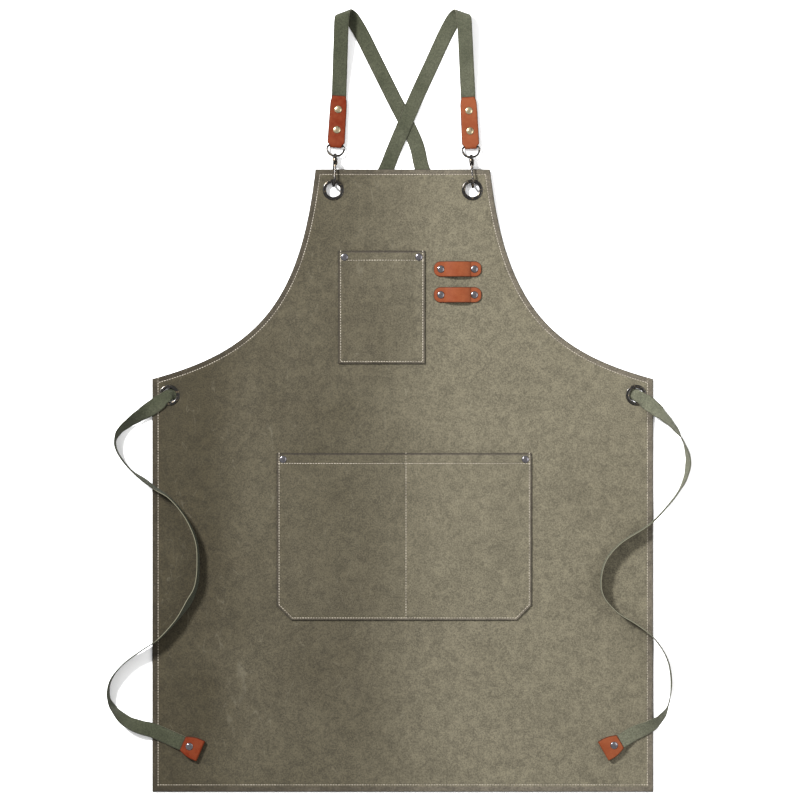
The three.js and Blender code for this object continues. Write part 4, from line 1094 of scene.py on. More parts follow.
def plain_block(width, depth, height):
    """A block round the middle, for cutting."""
    corners = [(x * width / 2, y * depth / 2, z * height / 2)
               for z in (-1, 1) for y in (-1, 1) for x in (-1, 1)]
    return corners, [(0, 2, 3, 1), (4, 5, 7, 6), (0, 1, 5, 4), (2, 6, 7, 3), (0, 4, 6, 2), (1, 3, 7, 5)]


def cheek_block(width, depth, height):
    """The block that holds the gate's pin, with its edges rounded."""
    shape = bmesh.new()
    bmesh.ops.create_cube(shape, size=1)
    bmesh.ops.scale(shape, vec=(width, depth, height), verts=shape.verts)
    bmesh.ops.bevel(shape, geom=shape.edges, offset=0.9, segments=4, affect="EDGES", profile=0.5)
    shape.verts.index_update()
    result = [v.co.copy() for v in shape.verts], [tuple(v.index for v in f.verts) for f in shape.faces]
    shape.free()
    return result


def gate_shape():
    tip = (BEND_CENTRE[0], NOSE_HEIGHT - HOOK_WIRE / 2 - CLEARANCE - GATE_WIRE / 2)
    start = (GATE_HINGE[0] - 1.4, GATE_HINGE[1] + 0.2)
    path = [Vector((0, start[0] + (tip[0] - start[0]) * s / 8, start[1] + (tip[1] - start[1]) * s / 8))
            for s in range(9)]
    lever = wire(path, GATE_WIRE / 2)
    half = GATE_WIRE / 2
    eye = turned([(0, -half), (GATE_EYE - 0.3, -half), (GATE_EYE, -half + 0.3), (GATE_EYE, half - 0.3),
                  (GATE_EYE - 0.3, half), (0, half)], 32)
    bore = turned([(0, -10), (GATE_PIN + CLEARANCE, -10), (GATE_PIN + CLEARANCE, 10), (0, 10)], 24)
    sideways = Matrix.Translation((0, *GATE_HINGE)) @ Matrix.Rotation(math.pi / 2, 4, "Y")
    return combined(combined(lever, moved(eye, sideways), "UNION"), moved(bore, sideways), "DIFFERENCE")


def tab_frame(side):
    tab = TABS[side]
    return Matrix.Translation((tab["x"], tab["y"], 0)) @ Matrix.Rotation(math.radians(tab["lean"]), 4, "Z")


def hook_frame(side):
    roll = Matrix.Rotation(math.radians(TABS[side]["roll"]), 4, "Y")
    return tab_frame(side) @ Matrix.Translation((0, -BAIL_DROP, SWIVEL_HEIGHT)) @ roll


def tip_frame(side):
    end, back = tip_place(side)
    return Matrix.Translation((end.x, end.y, 0)) @ Matrix.Rotation(math.atan2(-back.x, back.y), 4, "Z")


# Materials

# Painted light: the cloth, webbing and leather are painted paler towards the apron's right and darker towards
# its left, as the light falls on them. Each range is along X in metres.
CANVAS_PAINTED_LIGHT = (-0.10, 0.10)
CANVAS_PAINTED_LIGHT_SHARE = 0.72
CANVAS_SIDE_PAINTED_LIGHT = (-0.28, -0.20)
CANVAS_SIDE_PAINTED_LIGHT_SHARE = 0.28
WEBBING_PAINTED_LIGHT = (-0.15, 0.35)
LEATHER_PAINTED_LIGHT = (-0.08, 0.10)
LEATHER_PAINTED_LIGHT_SHARE = 0.65
LEATHER_SHADE_SHARE = 0.35

# How far the slow clouds shift the shade of the canvas and the webbing
CANVAS_CLOUDS = 0.5
WEBBING_CLOUDS = 0.7

# Where the ties leave the cloth, as distances from the middle of the apron in metres; the painted highlight
# on the webbing's edges ends there
OFF_CLOTH = (0.330, 0.342)
# How far the painted highlight lightens the webbing's outermost threads over the cloth
EDGE_HIGHLIGHT_SHARE = 0.9
CREASE_SHARE = 0.17
# How far the painted shade darkens the canvas along its folded edges
EDGE_SHADE_SHARE = 0.7
BURNISHED_SHARE = 0.8
SCRATCH_ROUGHNESS = 0.12
FINE_MOTTLE_SHARE = 0.7
COARSE_MOTTLE_SHARE = 0.3

# The three layers of creases: the scale of the noise, its turn in radians, and where it is read
CREASES = (
    {"scale": 16.0, "turn": 0.1, "seed": 3.1},
    {"scale": 27.0, "turn": 0.5, "seed": 7.7},
    {"scale": 44.0, "turn": -0.4, "seed": 11.3},
)


def node_group(name, inputs, outputs):
    """An empty shader group with its sockets, and its input and output nodes."""
    group = bpy.data.node_groups.new(name, "ShaderNodeTree")
    for label, kind, value in inputs:
        socket = group.interface.new_socket(label, in_out="INPUT", socket_type=kind)
        if value is not None:
            socket.default_value = value
    for label in outputs:
        group.interface.new_socket(label, in_out="OUTPUT", socket_type="NodeSocketFloat")
    return group, group.nodes.new("NodeGroupInput"), group.nodes.new("NodeGroupOutput")


def calculate(tree, operation, first, second=None, third=None, clamp=False):
    node = tree.nodes.new("ShaderNodeMath")
    node.operation = operation
    node.use_clamp = clamp
    for socket, value in zip(node.inputs, (first, second, third)):
        if value is None:
            continue
        if isinstance(value, (int, float)):
            socket.default_value = value
        else:
            tree.links.new(value, socket)
    return node.outputs[0]


def noise(tree, vector, scale, detail=4, roughness=0.55, distortion=0.0):
    node = tree.nodes.new("ShaderNodeTexNoise")
    node.inputs["Scale"].default_value = scale
    node.inputs["Detail"].default_value = detail
    node.inputs["Roughness"].default_value = roughness
    node.inputs["Distortion"].default_value = distortion
    tree.links.new(vector, node.inputs["Vector"])
    return node.outputs["Fac"]


def between(tree, value, low, high, to_low=0.0, to_high=1.0):
    """A value's share of the way from low to high, smoothed and kept between to_low and to_high."""
    node = tree.nodes.new("ShaderNodeMapRange")
    node.interpolation_type = "SMOOTHSTEP"
    tree.links.new(value, node.inputs["Value"])
    for label, number in (("From Min", low), ("From Max", high), ("To Min", to_low), ("To Max", to_high)):
        if isinstance(number, (int, float)):
            node.inputs[label].default_value = number
        else:
            tree.links.new(number, node.inputs[label])
    return node.outputs["Result"]


def blended(tree, share, first, second, kind="MIX"):
    """Two colours mixed by share."""
    node = tree.nodes.new("ShaderNodeMix")
    node.data_type = "RGBA"
    node.blend_type = kind
    if isinstance(share, (int, float)):
        node.inputs["Factor"].default_value = share
    else:
        tree.links.new(share, node.inputs["Factor"])
    for socket, value in zip((node.inputs["A"], node.inputs["B"]), (first, second)):
        if isinstance(value, bpy.types.NodeSocket):
            tree.links.new(value, socket)
        else:
            socket.default_value = (*value[:3], 1)
    return node.outputs["Result"]


def stretched(tree, vector, scale, turn=0.0):
    node = tree.nodes.new("ShaderNodeMapping")
    node.inputs["Scale"].default_value = scale
    node.inputs["Rotation"].default_value = (0, 0, turn)
    tree.links.new(vector, node.inputs["Vector"])
    return node.outputs["Vector"]


def plain_weave_group():
    """Threads that pass over and under each other on X and Y."""
    group, start, end = node_group("Plain weave", [
        ("Vector", "NodeSocketVector", None),
        ("Threads per Metre", "NodeSocketFloat", 1400.0),
    ], ["Height"])
    split = group.nodes.new("ShaderNodeSeparateXYZ")
    group.links.new(start.outputs["Vector"], split.inputs[0])
    turns = calculate(group, "MULTIPLY", start.outputs["Threads per Metre"], math.pi)
    warp = calculate(group, "SINE", calculate(group, "MULTIPLY", split.outputs["X"], turns))
    weft = calculate(group, "SINE", calculate(group, "MULTIPLY", split.outputs["Y"], turns))
    over = calculate(group, "GREATER_THAN", calculate(group, "MULTIPLY", warp, weft), 0)
    under = calculate(group, "SUBTRACT", 1, over)
    warp_part = calculate(group, "MULTIPLY", calculate(group, "ABSOLUTE", warp), over)
    weft_part = calculate(group, "MULTIPLY", calculate(group, "ABSOLUTE", weft), under)
    group.links.new(calculate(group, "ADD", warp_part, weft_part), end.inputs["Height"])
    return group


def herringbone_group():
    """Webbing ribs that slope one way and then the other across a strip."""
    group, start, end = node_group("Herringbone", [
        ("Vector", "NodeSocketVector", None),
        ("Rib", "NodeSocketFloat", 0.0013),
        ("Column", "NodeSocketFloat", 0.0025),
    ], ["Height"])
    split = group.nodes.new("ShaderNodeSeparateXYZ")
    group.links.new(start.outputs["Vector"], split.inputs[0])
    zigzag = calculate(group, "PINGPONG", split.outputs["X"], start.outputs["Column"])
    place = calculate(group, "ADD", split.outputs["Y"], zigzag)
    turns = calculate(group, "DIVIDE", calculate(group, "MULTIPLY", place, 2 * math.pi), start.outputs["Rib"])
    rib = calculate(group, "MULTIPLY_ADD", calculate(group, "SINE", turns), 0.5, 0.5)
    group.links.new(rib, end.inputs["Height"])
    return group


def worn_marks_group():
    """Clouds, fine mottling and thin pale creases of waxed cloth that has been folded and rubbed."""
    group, start, end = node_group("Worn marks", [
        ("Vector", "NodeSocketVector", None),
        ("Crease Width", "NodeSocketFloat", 0.011),
    ], ["Cloud", "Mottle", "Crease"])
    vector = start.outputs["Vector"]
    cloud = noise(group, vector, 9.0, 3, 0.5, 0.3)
    coarse = noise(group, vector, 75.0, 4, 0.6, 0.6)
    fine = noise(group, vector, 520.0, 3, 0.75, 0.0)
    mottle = calculate(group, "MULTIPLY_ADD", fine, FINE_MOTTLE_SHARE,
                       calculate(group, "MULTIPLY", coarse, COARSE_MOTTLE_SHARE))
    lines = []
    for layer in CREASES:
        scale, seed = layer["scale"], layer["seed"]
        shift = group.nodes.new("ShaderNodeVectorMath")
        shift.operation = "ADD"
        shift.inputs[1].default_value = (seed, -seed, 0)
        group.links.new(stretched(group, vector, (1, 0.4, 1), layer["turn"]), shift.inputs[0])
        field = noise(group, shift.outputs[0], scale, 2, 0.5, 0.9)
        away = calculate(group, "ABSOLUTE", calculate(group, "SUBTRACT", field, 0.5))
        line = calculate(group, "SUBTRACT", 1, between(group, away, 0.0, start.outputs["Crease Width"]))
        patchy = between(group, noise(group, shift.outputs[0], scale * 1.9, 2, 0.6, 0.2), 0.5, 0.66)
        lines.append(calculate(group, "MULTIPLY", line, patchy))
    creases = calculate(group, "MAXIMUM", calculate(group, "MAXIMUM", lines[0], lines[1]), lines[2])
    broken = between(group, coarse, 0.38, 0.6)
    group.links.new(cloud, end.inputs["Cloud"])
    group.links.new(mottle, end.inputs["Mottle"])
    group.links.new(calculate(group, "MULTIPLY", creases, broken), end.inputs["Crease"])
    return group


def edge_wear_and_shade_group():
    """How strongly a place near a cut or folded edge is marked, from its distance in millimetres: worn edges
    on the leather, painted shade on the canvas.
    """
    group, start, end = node_group("Edge wear and shade", [
        ("Vector", "NodeSocketVector", None),
        ("Edge Distance", "NodeSocketFloat", 10.0),
        ("Width", "NodeSocketFloat", 1.0),
    ], ["Worn"])
    uneven = noise(group, start.outputs["Vector"], 240.0, 3, 0.6)
    reach = calculate(group, "MULTIPLY", start.outputs["Width"], calculate(group, "ADD", uneven, 0.6))
    worn = calculate(group, "SUBTRACT", 1, between(group, start.outputs["Edge Distance"], 0.0, reach))
    group.links.new(worn, end.inputs["Worn"])
    return group


def grain_group():
    """The pebbled grain and slow shade of leather."""
    group, start, end = node_group("Leather grain", [
        ("Vector", "NodeSocketVector", None),
        ("Cells per Metre", "NodeSocketFloat", 1300.0),
    ], ["Grain", "Shade"])
    vector = start.outputs["Vector"]
    cells = group.nodes.new("ShaderNodeTexVoronoi")
    cells.feature = "SMOOTH_F1"
    cells.inputs["Smoothness"].default_value = 0.35
    group.links.new(vector, cells.inputs["Vector"])
    group.links.new(start.outputs["Cells per Metre"], cells.inputs["Scale"])
    pores = noise(group, vector, 900.0, 3, 0.6)
    grain = calculate(group, "MULTIPLY_ADD", pores, 0.4, cells.outputs["Distance"])
    shade = calculate(group, "MULTIPLY_ADD", noise(group, vector, 160.0, 4, 0.65), 0.5,
                      calculate(group, "MULTIPLY", noise(group, vector, 45.0, 2, 0.5), 0.5))
    group.links.new(grain, end.inputs["Grain"])
    group.links.new(shade, end.inputs["Shade"])
    return group


def handled_metal_group():
    """Smudges and hair scratches of plated metal."""
    group, start, end = node_group("Handled metal", [("Vector", "NodeSocketVector", None)],
                                   ["Smudge", "Scratch"])
    vector = start.outputs["Vector"]
    group.links.new(noise(group, vector, 260.0, 3, 0.6), end.inputs["Smudge"])
    hairs = noise(group, stretched(group, vector, (1, 0.08, 1), 0.7), 5200.0, 2, 0.5)
    group.links.new(between(group, hairs, 0.56, 0.7), end.inputs["Scratch"])
    return group


def new_material(name):
    material = bpy.data.materials.new(name)
    material.use_nodes = True
    tree = material.node_tree
    return material, tree, tree.nodes["Principled BSDF"]


def placed(tree, group_name, vector, **values):
    """A shader group placed in a material, reading vector."""
    node = tree.nodes.new("ShaderNodeGroup")
    node.node_tree = bpy.data.node_groups[group_name]
    tree.links.new(vector, node.inputs["Vector"])
    for label, value in values.items():
        socket = node.inputs[label.replace("_", " ")]
        if isinstance(value, bpy.types.NodeSocket):
            tree.links.new(value, socket)
        else:
            socket.default_value = value
    return node


def object_place(tree):
    return tree.nodes.new("ShaderNodeTexCoord").outputs["Object"]


def strip_place(tree):
    node = tree.nodes.new("ShaderNodeUVMap")
    node.uv_map = "strip"
    return node.outputs["UV"]


def edge_place(tree):
    node = tree.nodes.new("ShaderNodeAttribute")
    node.attribute_name = "edge_distance"
    return node.outputs["Fac"]


def bumped(tree, shader, height, distance, strength=1.0, under=None):
    node = tree.nodes.new("ShaderNodeBump")
    node.inputs["Distance"].default_value = distance
    node.inputs["Strength"].default_value = strength
    tree.links.new(height, node.inputs["Height"])
    if under is not None:
        tree.links.new(under, node.inputs["Normal"])
    if shader is not None:
        tree.links.new(node.outputs["Normal"], shader.inputs["Normal"])
    return node.outputs["Normal"]


def canvas_material(name, sizes, colours, band, edge_shade_width):
    """Waxed canvas: a plain weave, clouded and creased, greyer on the hem band, with painted shade in the low
    places of its weave and along its folded edges, and painted light paler towards the apron's right. band
    gives the width of the hem band and the last argument the width of the painted shade along the edge, both
    in millimetres."""
    material, tree, shader = new_material(name)
    place = object_place(tree)
    edge = edge_place(tree)
    marks = placed(tree, "Worn marks", place)
    weave = placed(tree, "Plain weave", place, Threads_per_Metre=1 / sizes.weave_pitch)
    wear = placed(tree, "Edge wear and shade", place, Edge_Distance=edge, Width=edge_shade_width)
    split = tree.nodes.new("ShaderNodeSeparateXYZ")
    tree.links.new(place, split.inputs[0])
    # Painted light: the canvas is painted darker at its left side and paler towards the apron's right, as the
    # light falls.
    painted_light_from_right = calculate(tree, "MULTIPLY", between(tree, split.outputs["X"], *CANVAS_PAINTED_LIGHT), CANVAS_PAINTED_LIGHT_SHARE)
    painted_light_from_right = calculate(tree, "MULTIPLY_ADD", between(tree, split.outputs["X"], *CANVAS_SIDE_PAINTED_LIGHT),
                      CANVAS_SIDE_PAINTED_LIGHT_SHARE, painted_light_from_right)
    tone = calculate(tree, "MULTIPLY_ADD", calculate(tree, "SUBTRACT", marks.outputs["Cloud"], 0.5),
                     CANVAS_CLOUDS, painted_light_from_right)
    colour = blended(tree, calculate(tree, "MINIMUM", calculate(tree, "MAXIMUM", tone, 0), 1),
                     colours.canvas_dark, colours.canvas_light)
    mottle = between(tree, marks.outputs["Mottle"], 0.34, 0.66, 0.60, 1.40)
    colour = blended(tree, 1.0, colour, value_colour(tree, mottle), "MULTIPLY")
    crease = calculate(tree, "MULTIPLY", marks.outputs["Crease"], CREASE_SHARE)
    colour = blended(tree, crease, colour, colours.canvas_rubbed)
    # Painted shade: the low places of the weave are darkened as if in shade between the threads.
    thread = calculate(tree, "MULTIPLY_ADD", weave.outputs["Height"], 0.28, 0.82)
    colour = blended(tree, 1.0, colour, value_colour(tree, thread), "MULTIPLY")
    hem = calculate(tree, "SUBTRACT", 1, between(tree, edge, band - 0.9, band))
    colour = blended(tree, hem, colour, blended(tree, 1.0, colour, colours.canvas_hem, "MULTIPLY"))
    # Painted shade: the edge mask darkens the canvas's folded edges to paint the shade along them.
    soiled = calculate(tree, "MULTIPLY", wear.outputs["Worn"], EDGE_SHADE_SHARE)
    colour = blended(tree, soiled, colour, colours.canvas_edge_shade)
    tree.links.new(colour, shader.inputs["Base Color"])
    tree.links.new(between(tree, marks.outputs["Mottle"], 0.3, 0.7, 0.72, 0.92), shader.inputs["Roughness"])
    shader.inputs["Specular IOR Level"].default_value = 0.12
    shader.inputs["Sheen Weight"].default_value = 0.03
    coarse = bumped(tree, None, marks.outputs["Mottle"], 0.0012, 0.5)
    bumped(tree, shader, weave.outputs["Height"], 0.00012, 0.6, coarse)
    return material


def value_colour(tree, value):
    """A grey of a varying value."""
    node = tree.nodes.new("ShaderNodeCombineColor")
    for socket in node.inputs[:3]:
        tree.links.new(value, socket)
    return node.outputs[0]


def webbing_material(sizes, colours):
    """Ribbed cotton webbing, with painted shade in its grooves and along its selvedges, and a painted
    highlight on its outermost threads where they lie over the apron's cloth."""
    material, tree, shader = new_material("ribbed_webbing")
    strip_uv = strip_place(tree)
    place = object_place(tree)
    ribs = placed(tree, "Herringbone", strip_uv, Rib=sizes.rib_pitch)
    edge = edge_place(tree)
    fade = noise(tree, place, 28.0, 3, 0.5)
    fuzz = noise(tree, place, 480.0, 3, 0.75)
    split = tree.nodes.new("ShaderNodeSeparateXYZ")
    tree.links.new(place, split.inputs[0])
    # Painted light: the webbing is painted darker to the apron's left and paler towards its right.
    painted_light_from_right = between(tree, split.outputs["X"], *WEBBING_PAINTED_LIGHT)
    tone = calculate(tree, "MULTIPLY_ADD", calculate(tree, "SUBTRACT", fade, 0.5), WEBBING_CLOUDS, painted_light_from_right)
    colour = blended(tree, calculate(tree, "MINIMUM", calculate(tree, "MAXIMUM", tone, 0), 1),
                     colours.webbing_dark, colours.webbing_light)
    # Painted shade: the grooves between the ribs are darkened as if in shade.
    groove_shade = calculate(tree, "MULTIPLY_ADD", ribs.outputs["Height"], 0.56, 0.70)
    colour = blended(tree, 1.0, colour, value_colour(tree, groove_shade), "MULTIPLY")
    lint = between(tree, fuzz, 0.32, 0.68, 0.72, 1.28)
    colour = blended(tree, 1.0, colour, value_colour(tree, lint), "MULTIPLY")
    # Painted shade: the selvedges are darkened as if their rounded sides were in shade.
    selvedge = between(tree, edge, 0.4, 1.6, 0.62, 1.0)
    colour = blended(tree, 1.0, colour, value_colour(tree, selvedge), "MULTIPLY")
    # Painted highlight: the outermost threads are painted pale where the webbing lies over the cloth,
    # standing in for its lit top edges.
    rubbed = calculate(tree, "SUBTRACT", 1, between(tree, edge, 0.02, 0.3))
    aside = calculate(tree, "ABSOLUTE", split.outputs["X"])
    over_cloth = calculate(tree, "SUBTRACT", 1, between(tree, aside, *OFF_CLOTH))
    rubbed = calculate(tree, "MULTIPLY", rubbed, over_cloth)
    colour = blended(tree, calculate(tree, "MULTIPLY", rubbed, EDGE_HIGHLIGHT_SHARE), colour, colours.webbing_edge_highlight)
    tree.links.new(colour, shader.inputs["Base Color"])
    tree.links.new(between(tree, fuzz, 0.3, 0.7, 0.82, 0.97), shader.inputs["Roughness"])
    shader.inputs["Specular IOR Level"].default_value = 0.08
    shader.inputs["Sheen Weight"].default_value = 0.04
    soft = bumped(tree, None, fuzz, 0.0003, 0.4)
    bumped(tree, shader, ribs.outputs["Height"], 0.00035, 0.8, soft)
    return material


def leather_material(colours):
    """Smooth orange-brown leather with a fine grain and dark burnished edges."""
    material, tree, shader = new_material("burnished_leather")
    place = object_place(tree)
    edge = edge_place(tree)
    grain = placed(tree, "Leather grain", place)
    wear = placed(tree, "Edge wear and shade", place, Edge_Distance=edge, Width=1.5)
    split = tree.nodes.new("ShaderNodeSeparateXYZ")
    tree.links.new(place, split.inputs[0])
    # Painted light: the leather is painted darker to the apron's left and paler towards its right.
    painted_light_from_right = calculate(tree, "MULTIPLY", between(tree, split.outputs["X"], *LEATHER_PAINTED_LIGHT), LEATHER_PAINTED_LIGHT_SHARE)
    shade = calculate(tree, "MULTIPLY_ADD", between(tree, grain.outputs["Shade"], 0.34, 0.66),
                      LEATHER_SHADE_SHARE, painted_light_from_right)
    colour = blended(tree, shade, colours.leather_dark, colours.leather)
    pores = between(tree, grain.outputs["Grain"], 0.2, 0.75, 0.86, 1.08)
    colour = blended(tree, 1.0, colour, value_colour(tree, pores), "MULTIPLY")
    burnish = calculate(tree, "MULTIPLY", wear.outputs["Worn"], BURNISHED_SHARE)
    colour = blended(tree, burnish, colour, colours.leather_edge)
    tree.links.new(colour, shader.inputs["Base Color"])
    tree.links.new(between(tree, grain.outputs["Shade"], 0.3, 0.7, 0.42, 0.62), shader.inputs["Roughness"])
    shader.inputs["Specular IOR Level"].default_value = 0.06
    bumped(tree, shader, grain.outputs["Grain"], 0.00018, 0.5)
    return material


def metal_material(name, colour, tarnish, low, high):
    """Plated metal with smudges and hair scratches, its roughness between low and high."""
    material, tree, shader = new_material(name)
    place = object_place(tree)
    handled = placed(tree, "Handled metal", place)
    smudge = between(tree, handled.outputs["Smudge"], 0.52, 0.74)
    tree.links.new(blended(tree, smudge, colour, tarnish), shader.inputs["Base Color"])
    shader.inputs["Metallic"].default_value = 1
    rough = between(tree, handled.outputs["Smudge"], 0.3, 0.7, low, high)
    rough = calculate(tree, "MULTIPLY_ADD", handled.outputs["Scratch"], SCRATCH_ROUGHNESS, rough)
    tree.links.new(rough, shader.inputs["Roughness"])
    bumped(tree, shader, handled.outputs["Scratch"], 0.00002, 0.3)
    return material


def thread_material(colours):
    """Twisted cotton thread."""
    material, tree, shader = new_material("sewing_thread")
    place = object_place(tree)
    twist = noise(tree, stretched(tree, place, (1, 0.35, 1), 0.8), 2600.0, 2, 0.5)
    soil = noise(tree, place, 60.0, 3, 0.6)
    colour = blended(tree, between(tree, soil, 0.35, 0.7), colours.thread, colours.thread_soiled)
    strand = between(tree, twist, 0.35, 0.65, 0.78, 1.1)
    colour = blended(tree, 1.0, colour, value_colour(tree, strand), "MULTIPLY")
    tree.links.new(colour, shader.inputs["Base Color"])
    tree.links.new(between(tree, twist, 0.3, 0.7, 0.7, 0.9), shader.inputs["Roughness"])
    bumped(tree, shader, twist, 0.0001, 0.6)
    return material


def floor_material(colours):
    material, tree, shader = new_material("floor")
    place = object_place(tree)
    slight = noise(tree, place, 3.0, 2, 0.5)
    colour = blended(tree, slight, colours.floor, [0.985 * part for part in colours.floor])
    tree.links.new(colour, shader.inputs["Base Color"])
    shader.inputs["Roughness"].default_value = 0.9
    return material


def material_named(name):
    return bpy.data.materials[name]


# Stitches


def stitch_tree():
    """Stitches along curves: resampled to the pitch, one thread bulge on each point, slightly uneven."""
    tree = bpy.data.node_groups.new("Stitches", "GeometryNodeTree")
    tree.is_modifier = True
    tree.interface.new_socket("Geometry", in_out="INPUT", socket_type="NodeSocketGeometry")
    for label, value in (("Pitch", 0.0036), ("Length", 0.0029), ("Width", 0.0008), ("Depth", 0.0006)):
        tree.interface.new_socket(label, in_out="INPUT", socket_type="NodeSocketFloat").default_value = value
    tree.interface.new_socket("Seed", in_out="INPUT", socket_type="NodeSocketInt").default_value = 4
    tree.interface.new_socket("Thread", in_out="INPUT", socket_type="NodeSocketMaterial")
    tree.interface.new_socket("Geometry", in_out="OUTPUT", socket_type="NodeSocketGeometry")
    start, end = tree.nodes.new("NodeGroupInput"), tree.nodes.new("NodeGroupOutput")
    link = tree.links.new

    def added(kind, **links):
        node = tree.nodes.new(kind)
        for label, source in links.items():
            link(source, node.inputs[label.replace("_", " ")])
        return node

    curve = added("GeometryNodeMeshToCurve", Mesh=start.outputs["Geometry"])
    spaced = tree.nodes.new("GeometryNodeResampleCurve")
    spaced.mode = "LENGTH"
    link(curve.outputs[0], spaced.inputs["Curve"])
    link(start.outputs["Pitch"], spaced.inputs["Length"])
    ball = tree.nodes.new("GeometryNodeMeshUVSphere")
    ball.inputs["Segments"].default_value = 8
    ball.inputs["Rings"].default_value = 6
    ball.inputs["Radius"].default_value = 0.5
    size = added("ShaderNodeCombineXYZ", X=start.outputs["Length"], Y=start.outputs["Width"],
                 Z=start.outputs["Depth"])
    thread = added("GeometryNodeTransform", Geometry=ball.outputs["Mesh"], Scale=size.outputs[0])
    tangent = tree.nodes.new("GeometryNodeInputTangent")
    along = tree.nodes.new("FunctionNodeAlignEulerToVector")
    along.axis = "X"
    along.pivot_axis = "AUTO"
    link(tangent.outputs[0], along.inputs["Vector"])
    chance = tree.nodes.new("FunctionNodeRandomValue")
    chance.data_type = "FLOAT_VECTOR"
    chance.inputs[0].default_value = (0.92, 0.9, 0.9)
    chance.inputs[1].default_value = (1.06, 1.12, 1.1)
    link(start.outputs["Seed"], chance.inputs["Seed"])
    copies = added("GeometryNodeInstanceOnPoints", Points=spaced.outputs[0], Instance=thread.outputs[0],
                   Rotation=along.outputs[0], Scale=chance.outputs[0])
    real = added("GeometryNodeRealizeInstances", Geometry=copies.outputs[0])
    smooth_faces = added("GeometryNodeSetShadeSmooth", Geometry=real.outputs[0])
    done = added("GeometryNodeSetMaterial", Geometry=smooth_faces.outputs[0],
                 Material=start.outputs["Thread"])
    link(done.outputs[0], end.inputs["Geometry"])
    return tree


def stitched(name, lines, sizes):
    """A piece with stitches along lines of places in millimetres."""
    points, edges = [], []
    for line in lines:
        start = len(points)
        points.extend(line)
        edges.extend((start + step, start + step + 1) for step in range(len(line) - 1))
    mesh = bpy.data.meshes.new(name + "_lines")
    mesh.from_pydata(in_metres(points).tolist(), edges, [])
    guide = bpy.data.objects.new(name + "_lines", mesh)
    bpy.context.scene.collection.objects.link(guide)
    tree = bpy.data.node_groups.get("Stitches") or stitch_tree()
    values = {"Pitch": sizes.stitch_pitch, "Length": sizes.stitch_length, "Width": sizes.thread_width,
              "Depth": 0.7 * sizes.thread_width, "Seed": 4, "Thread": material_named("sewing_thread")}
    modifier = guide.modifiers.new("stitches", "NODES")
    modifier.node_group = tree
    for item in tree.interface.items_tree:
        if item.in_out == "INPUT" and item.name in values:
            modifier[item.identifier] = values[item.name]
    made = bpy.data.meshes.new_from_object(guide.evaluated_get(bpy.context.evaluated_depsgraph_get()))
    bpy.data.objects.remove(guide)
    bpy.data.meshes.remove(mesh)
    thing = bpy.data.objects.new(name, made)
    made.name = name
    bpy.context.scene.collection.objects.link(thing)
    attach(thing, "apron")
    return thing


# Settings


def length(name, description, value):
    return FloatProperty(name=name, description=description, default=value, min=0, unit="LENGTH", precision=5)


def colour(name, description, value):
    return FloatVectorProperty(name=name, description=description, default=value, size=3, min=0, max=1,
                               subtype="COLOR")


class ApronSizes(PropertyGroup):
    stitch_pitch: length("Stitch pitch", "Distance from one stitch to the next", 0.0036)
    stitch_length: length("Stitch length", "Length of the thread that shows in a stitch", 0.0030)
    thread_width: length("Thread width", "Width of the sewing thread", 0.0009)
    seam_depth: length("Seam depth", "How far the stitches draw the panel down", 0.0004)
    cloth_wave: length("Cloth unevenness", "How far the lying cloth dips between its high places", 0.00018)
    net_spacing: length("Net spacing", "Distance between the points of the cloth's net", 0.0065)
    weave_pitch: length("Weave pitch", "Distance between the canvas threads", 0.0007)
    rib_pitch: length("Rib pitch", "Distance between the ribs of the webbing", 0.0014)


class ApronColours(PropertyGroup):
    # The dark and light canvas colours are the ends of a mix of random wax tone and painted light, dark to
    # the left and pale to the right.
    canvas_dark: colour("Canvas, dark", "Canvas where the wax is thick", (0.0297, 0.0249, 0.0147))
    canvas_light: colour("Canvas, light", "Canvas where the wax has worn", (0.0893, 0.0797, 0.0548))
    canvas_rubbed: colour("Canvas, rubbed", "Creases that have been rubbed pale", (0.158, 0.146, 0.110))
    canvas_hem: colour("Canvas, hem", "What the doubled cloth of the hems multiplies the colour by",
                       (0.86, 0.84, 0.92))
    # Painted shade: the near-black colour painted along the canvas's folded edges and its pocket mouths
    # stands in for the shade there.
    canvas_edge_shade: colour("Canvas, edge", "Folded edges where wax and dirt have gathered",
                        (0.011, 0.009, 0.007))
    # The dark and light webbing colours are the ends of a mix of random tone and painted light, dark to the
    # left and pale to the right.
    webbing_dark: colour("Webbing, dark", "Webbing in its deeper shade", (0.0335, 0.0362, 0.0222))
    webbing_light: colour("Webbing, light", "Webbing where it has faded", (0.089, 0.0905, 0.063))
    # Painted highlight: the pale colour of the webbing's outermost threads over the cloth.
    webbing_edge_highlight: colour("Webbing, rubbed", "Outermost threads of the selvedges", (0.150, 0.141, 0.100))
    # The two leather colours are the ends of a mix of random tone and painted light, dark to the left and
    # pale to the right.
    leather: colour("Leather", "Smooth face of the leather", (0.139, 0.0390, 0.0150))
    leather_dark: colour("Leather, dark", "Leather in its deeper shade", (0.072, 0.0075, 0.001))
    leather_edge: colour("Leather edge", "Burnished cut edges", (0.018, 0.005, 0.003))
    thread: colour("Thread", "Sewing thread", (0.365, 0.325, 0.265))
    thread_soiled: colour("Thread, soiled", "Thread where wax has rubbed off on it", (0.183, 0.158, 0.125))
    nickel: colour("Nickel", "Rivets of the pockets and loops", (0.135, 0.129, 0.140))
    dark_nickel: colour("Dark nickel", "Hooks, bails and eyelets", (0.036, 0.034, 0.032))
    brass: colour("Brass", "Rivets of the strap tabs", (0.38, 0.325, 0.205))
    tarnish: colour("Tarnish", "Metal where it has dulled", (0.035, 0.029, 0.024))
    bared_brass: colour("Bared brass", "Hooks and eyelets where the plating has worn", (0.150, 0.115, 0.070))
    floor: colour("Floor", "The plain floor", (0.94, 0.94, 0.94))


# Making the pieces


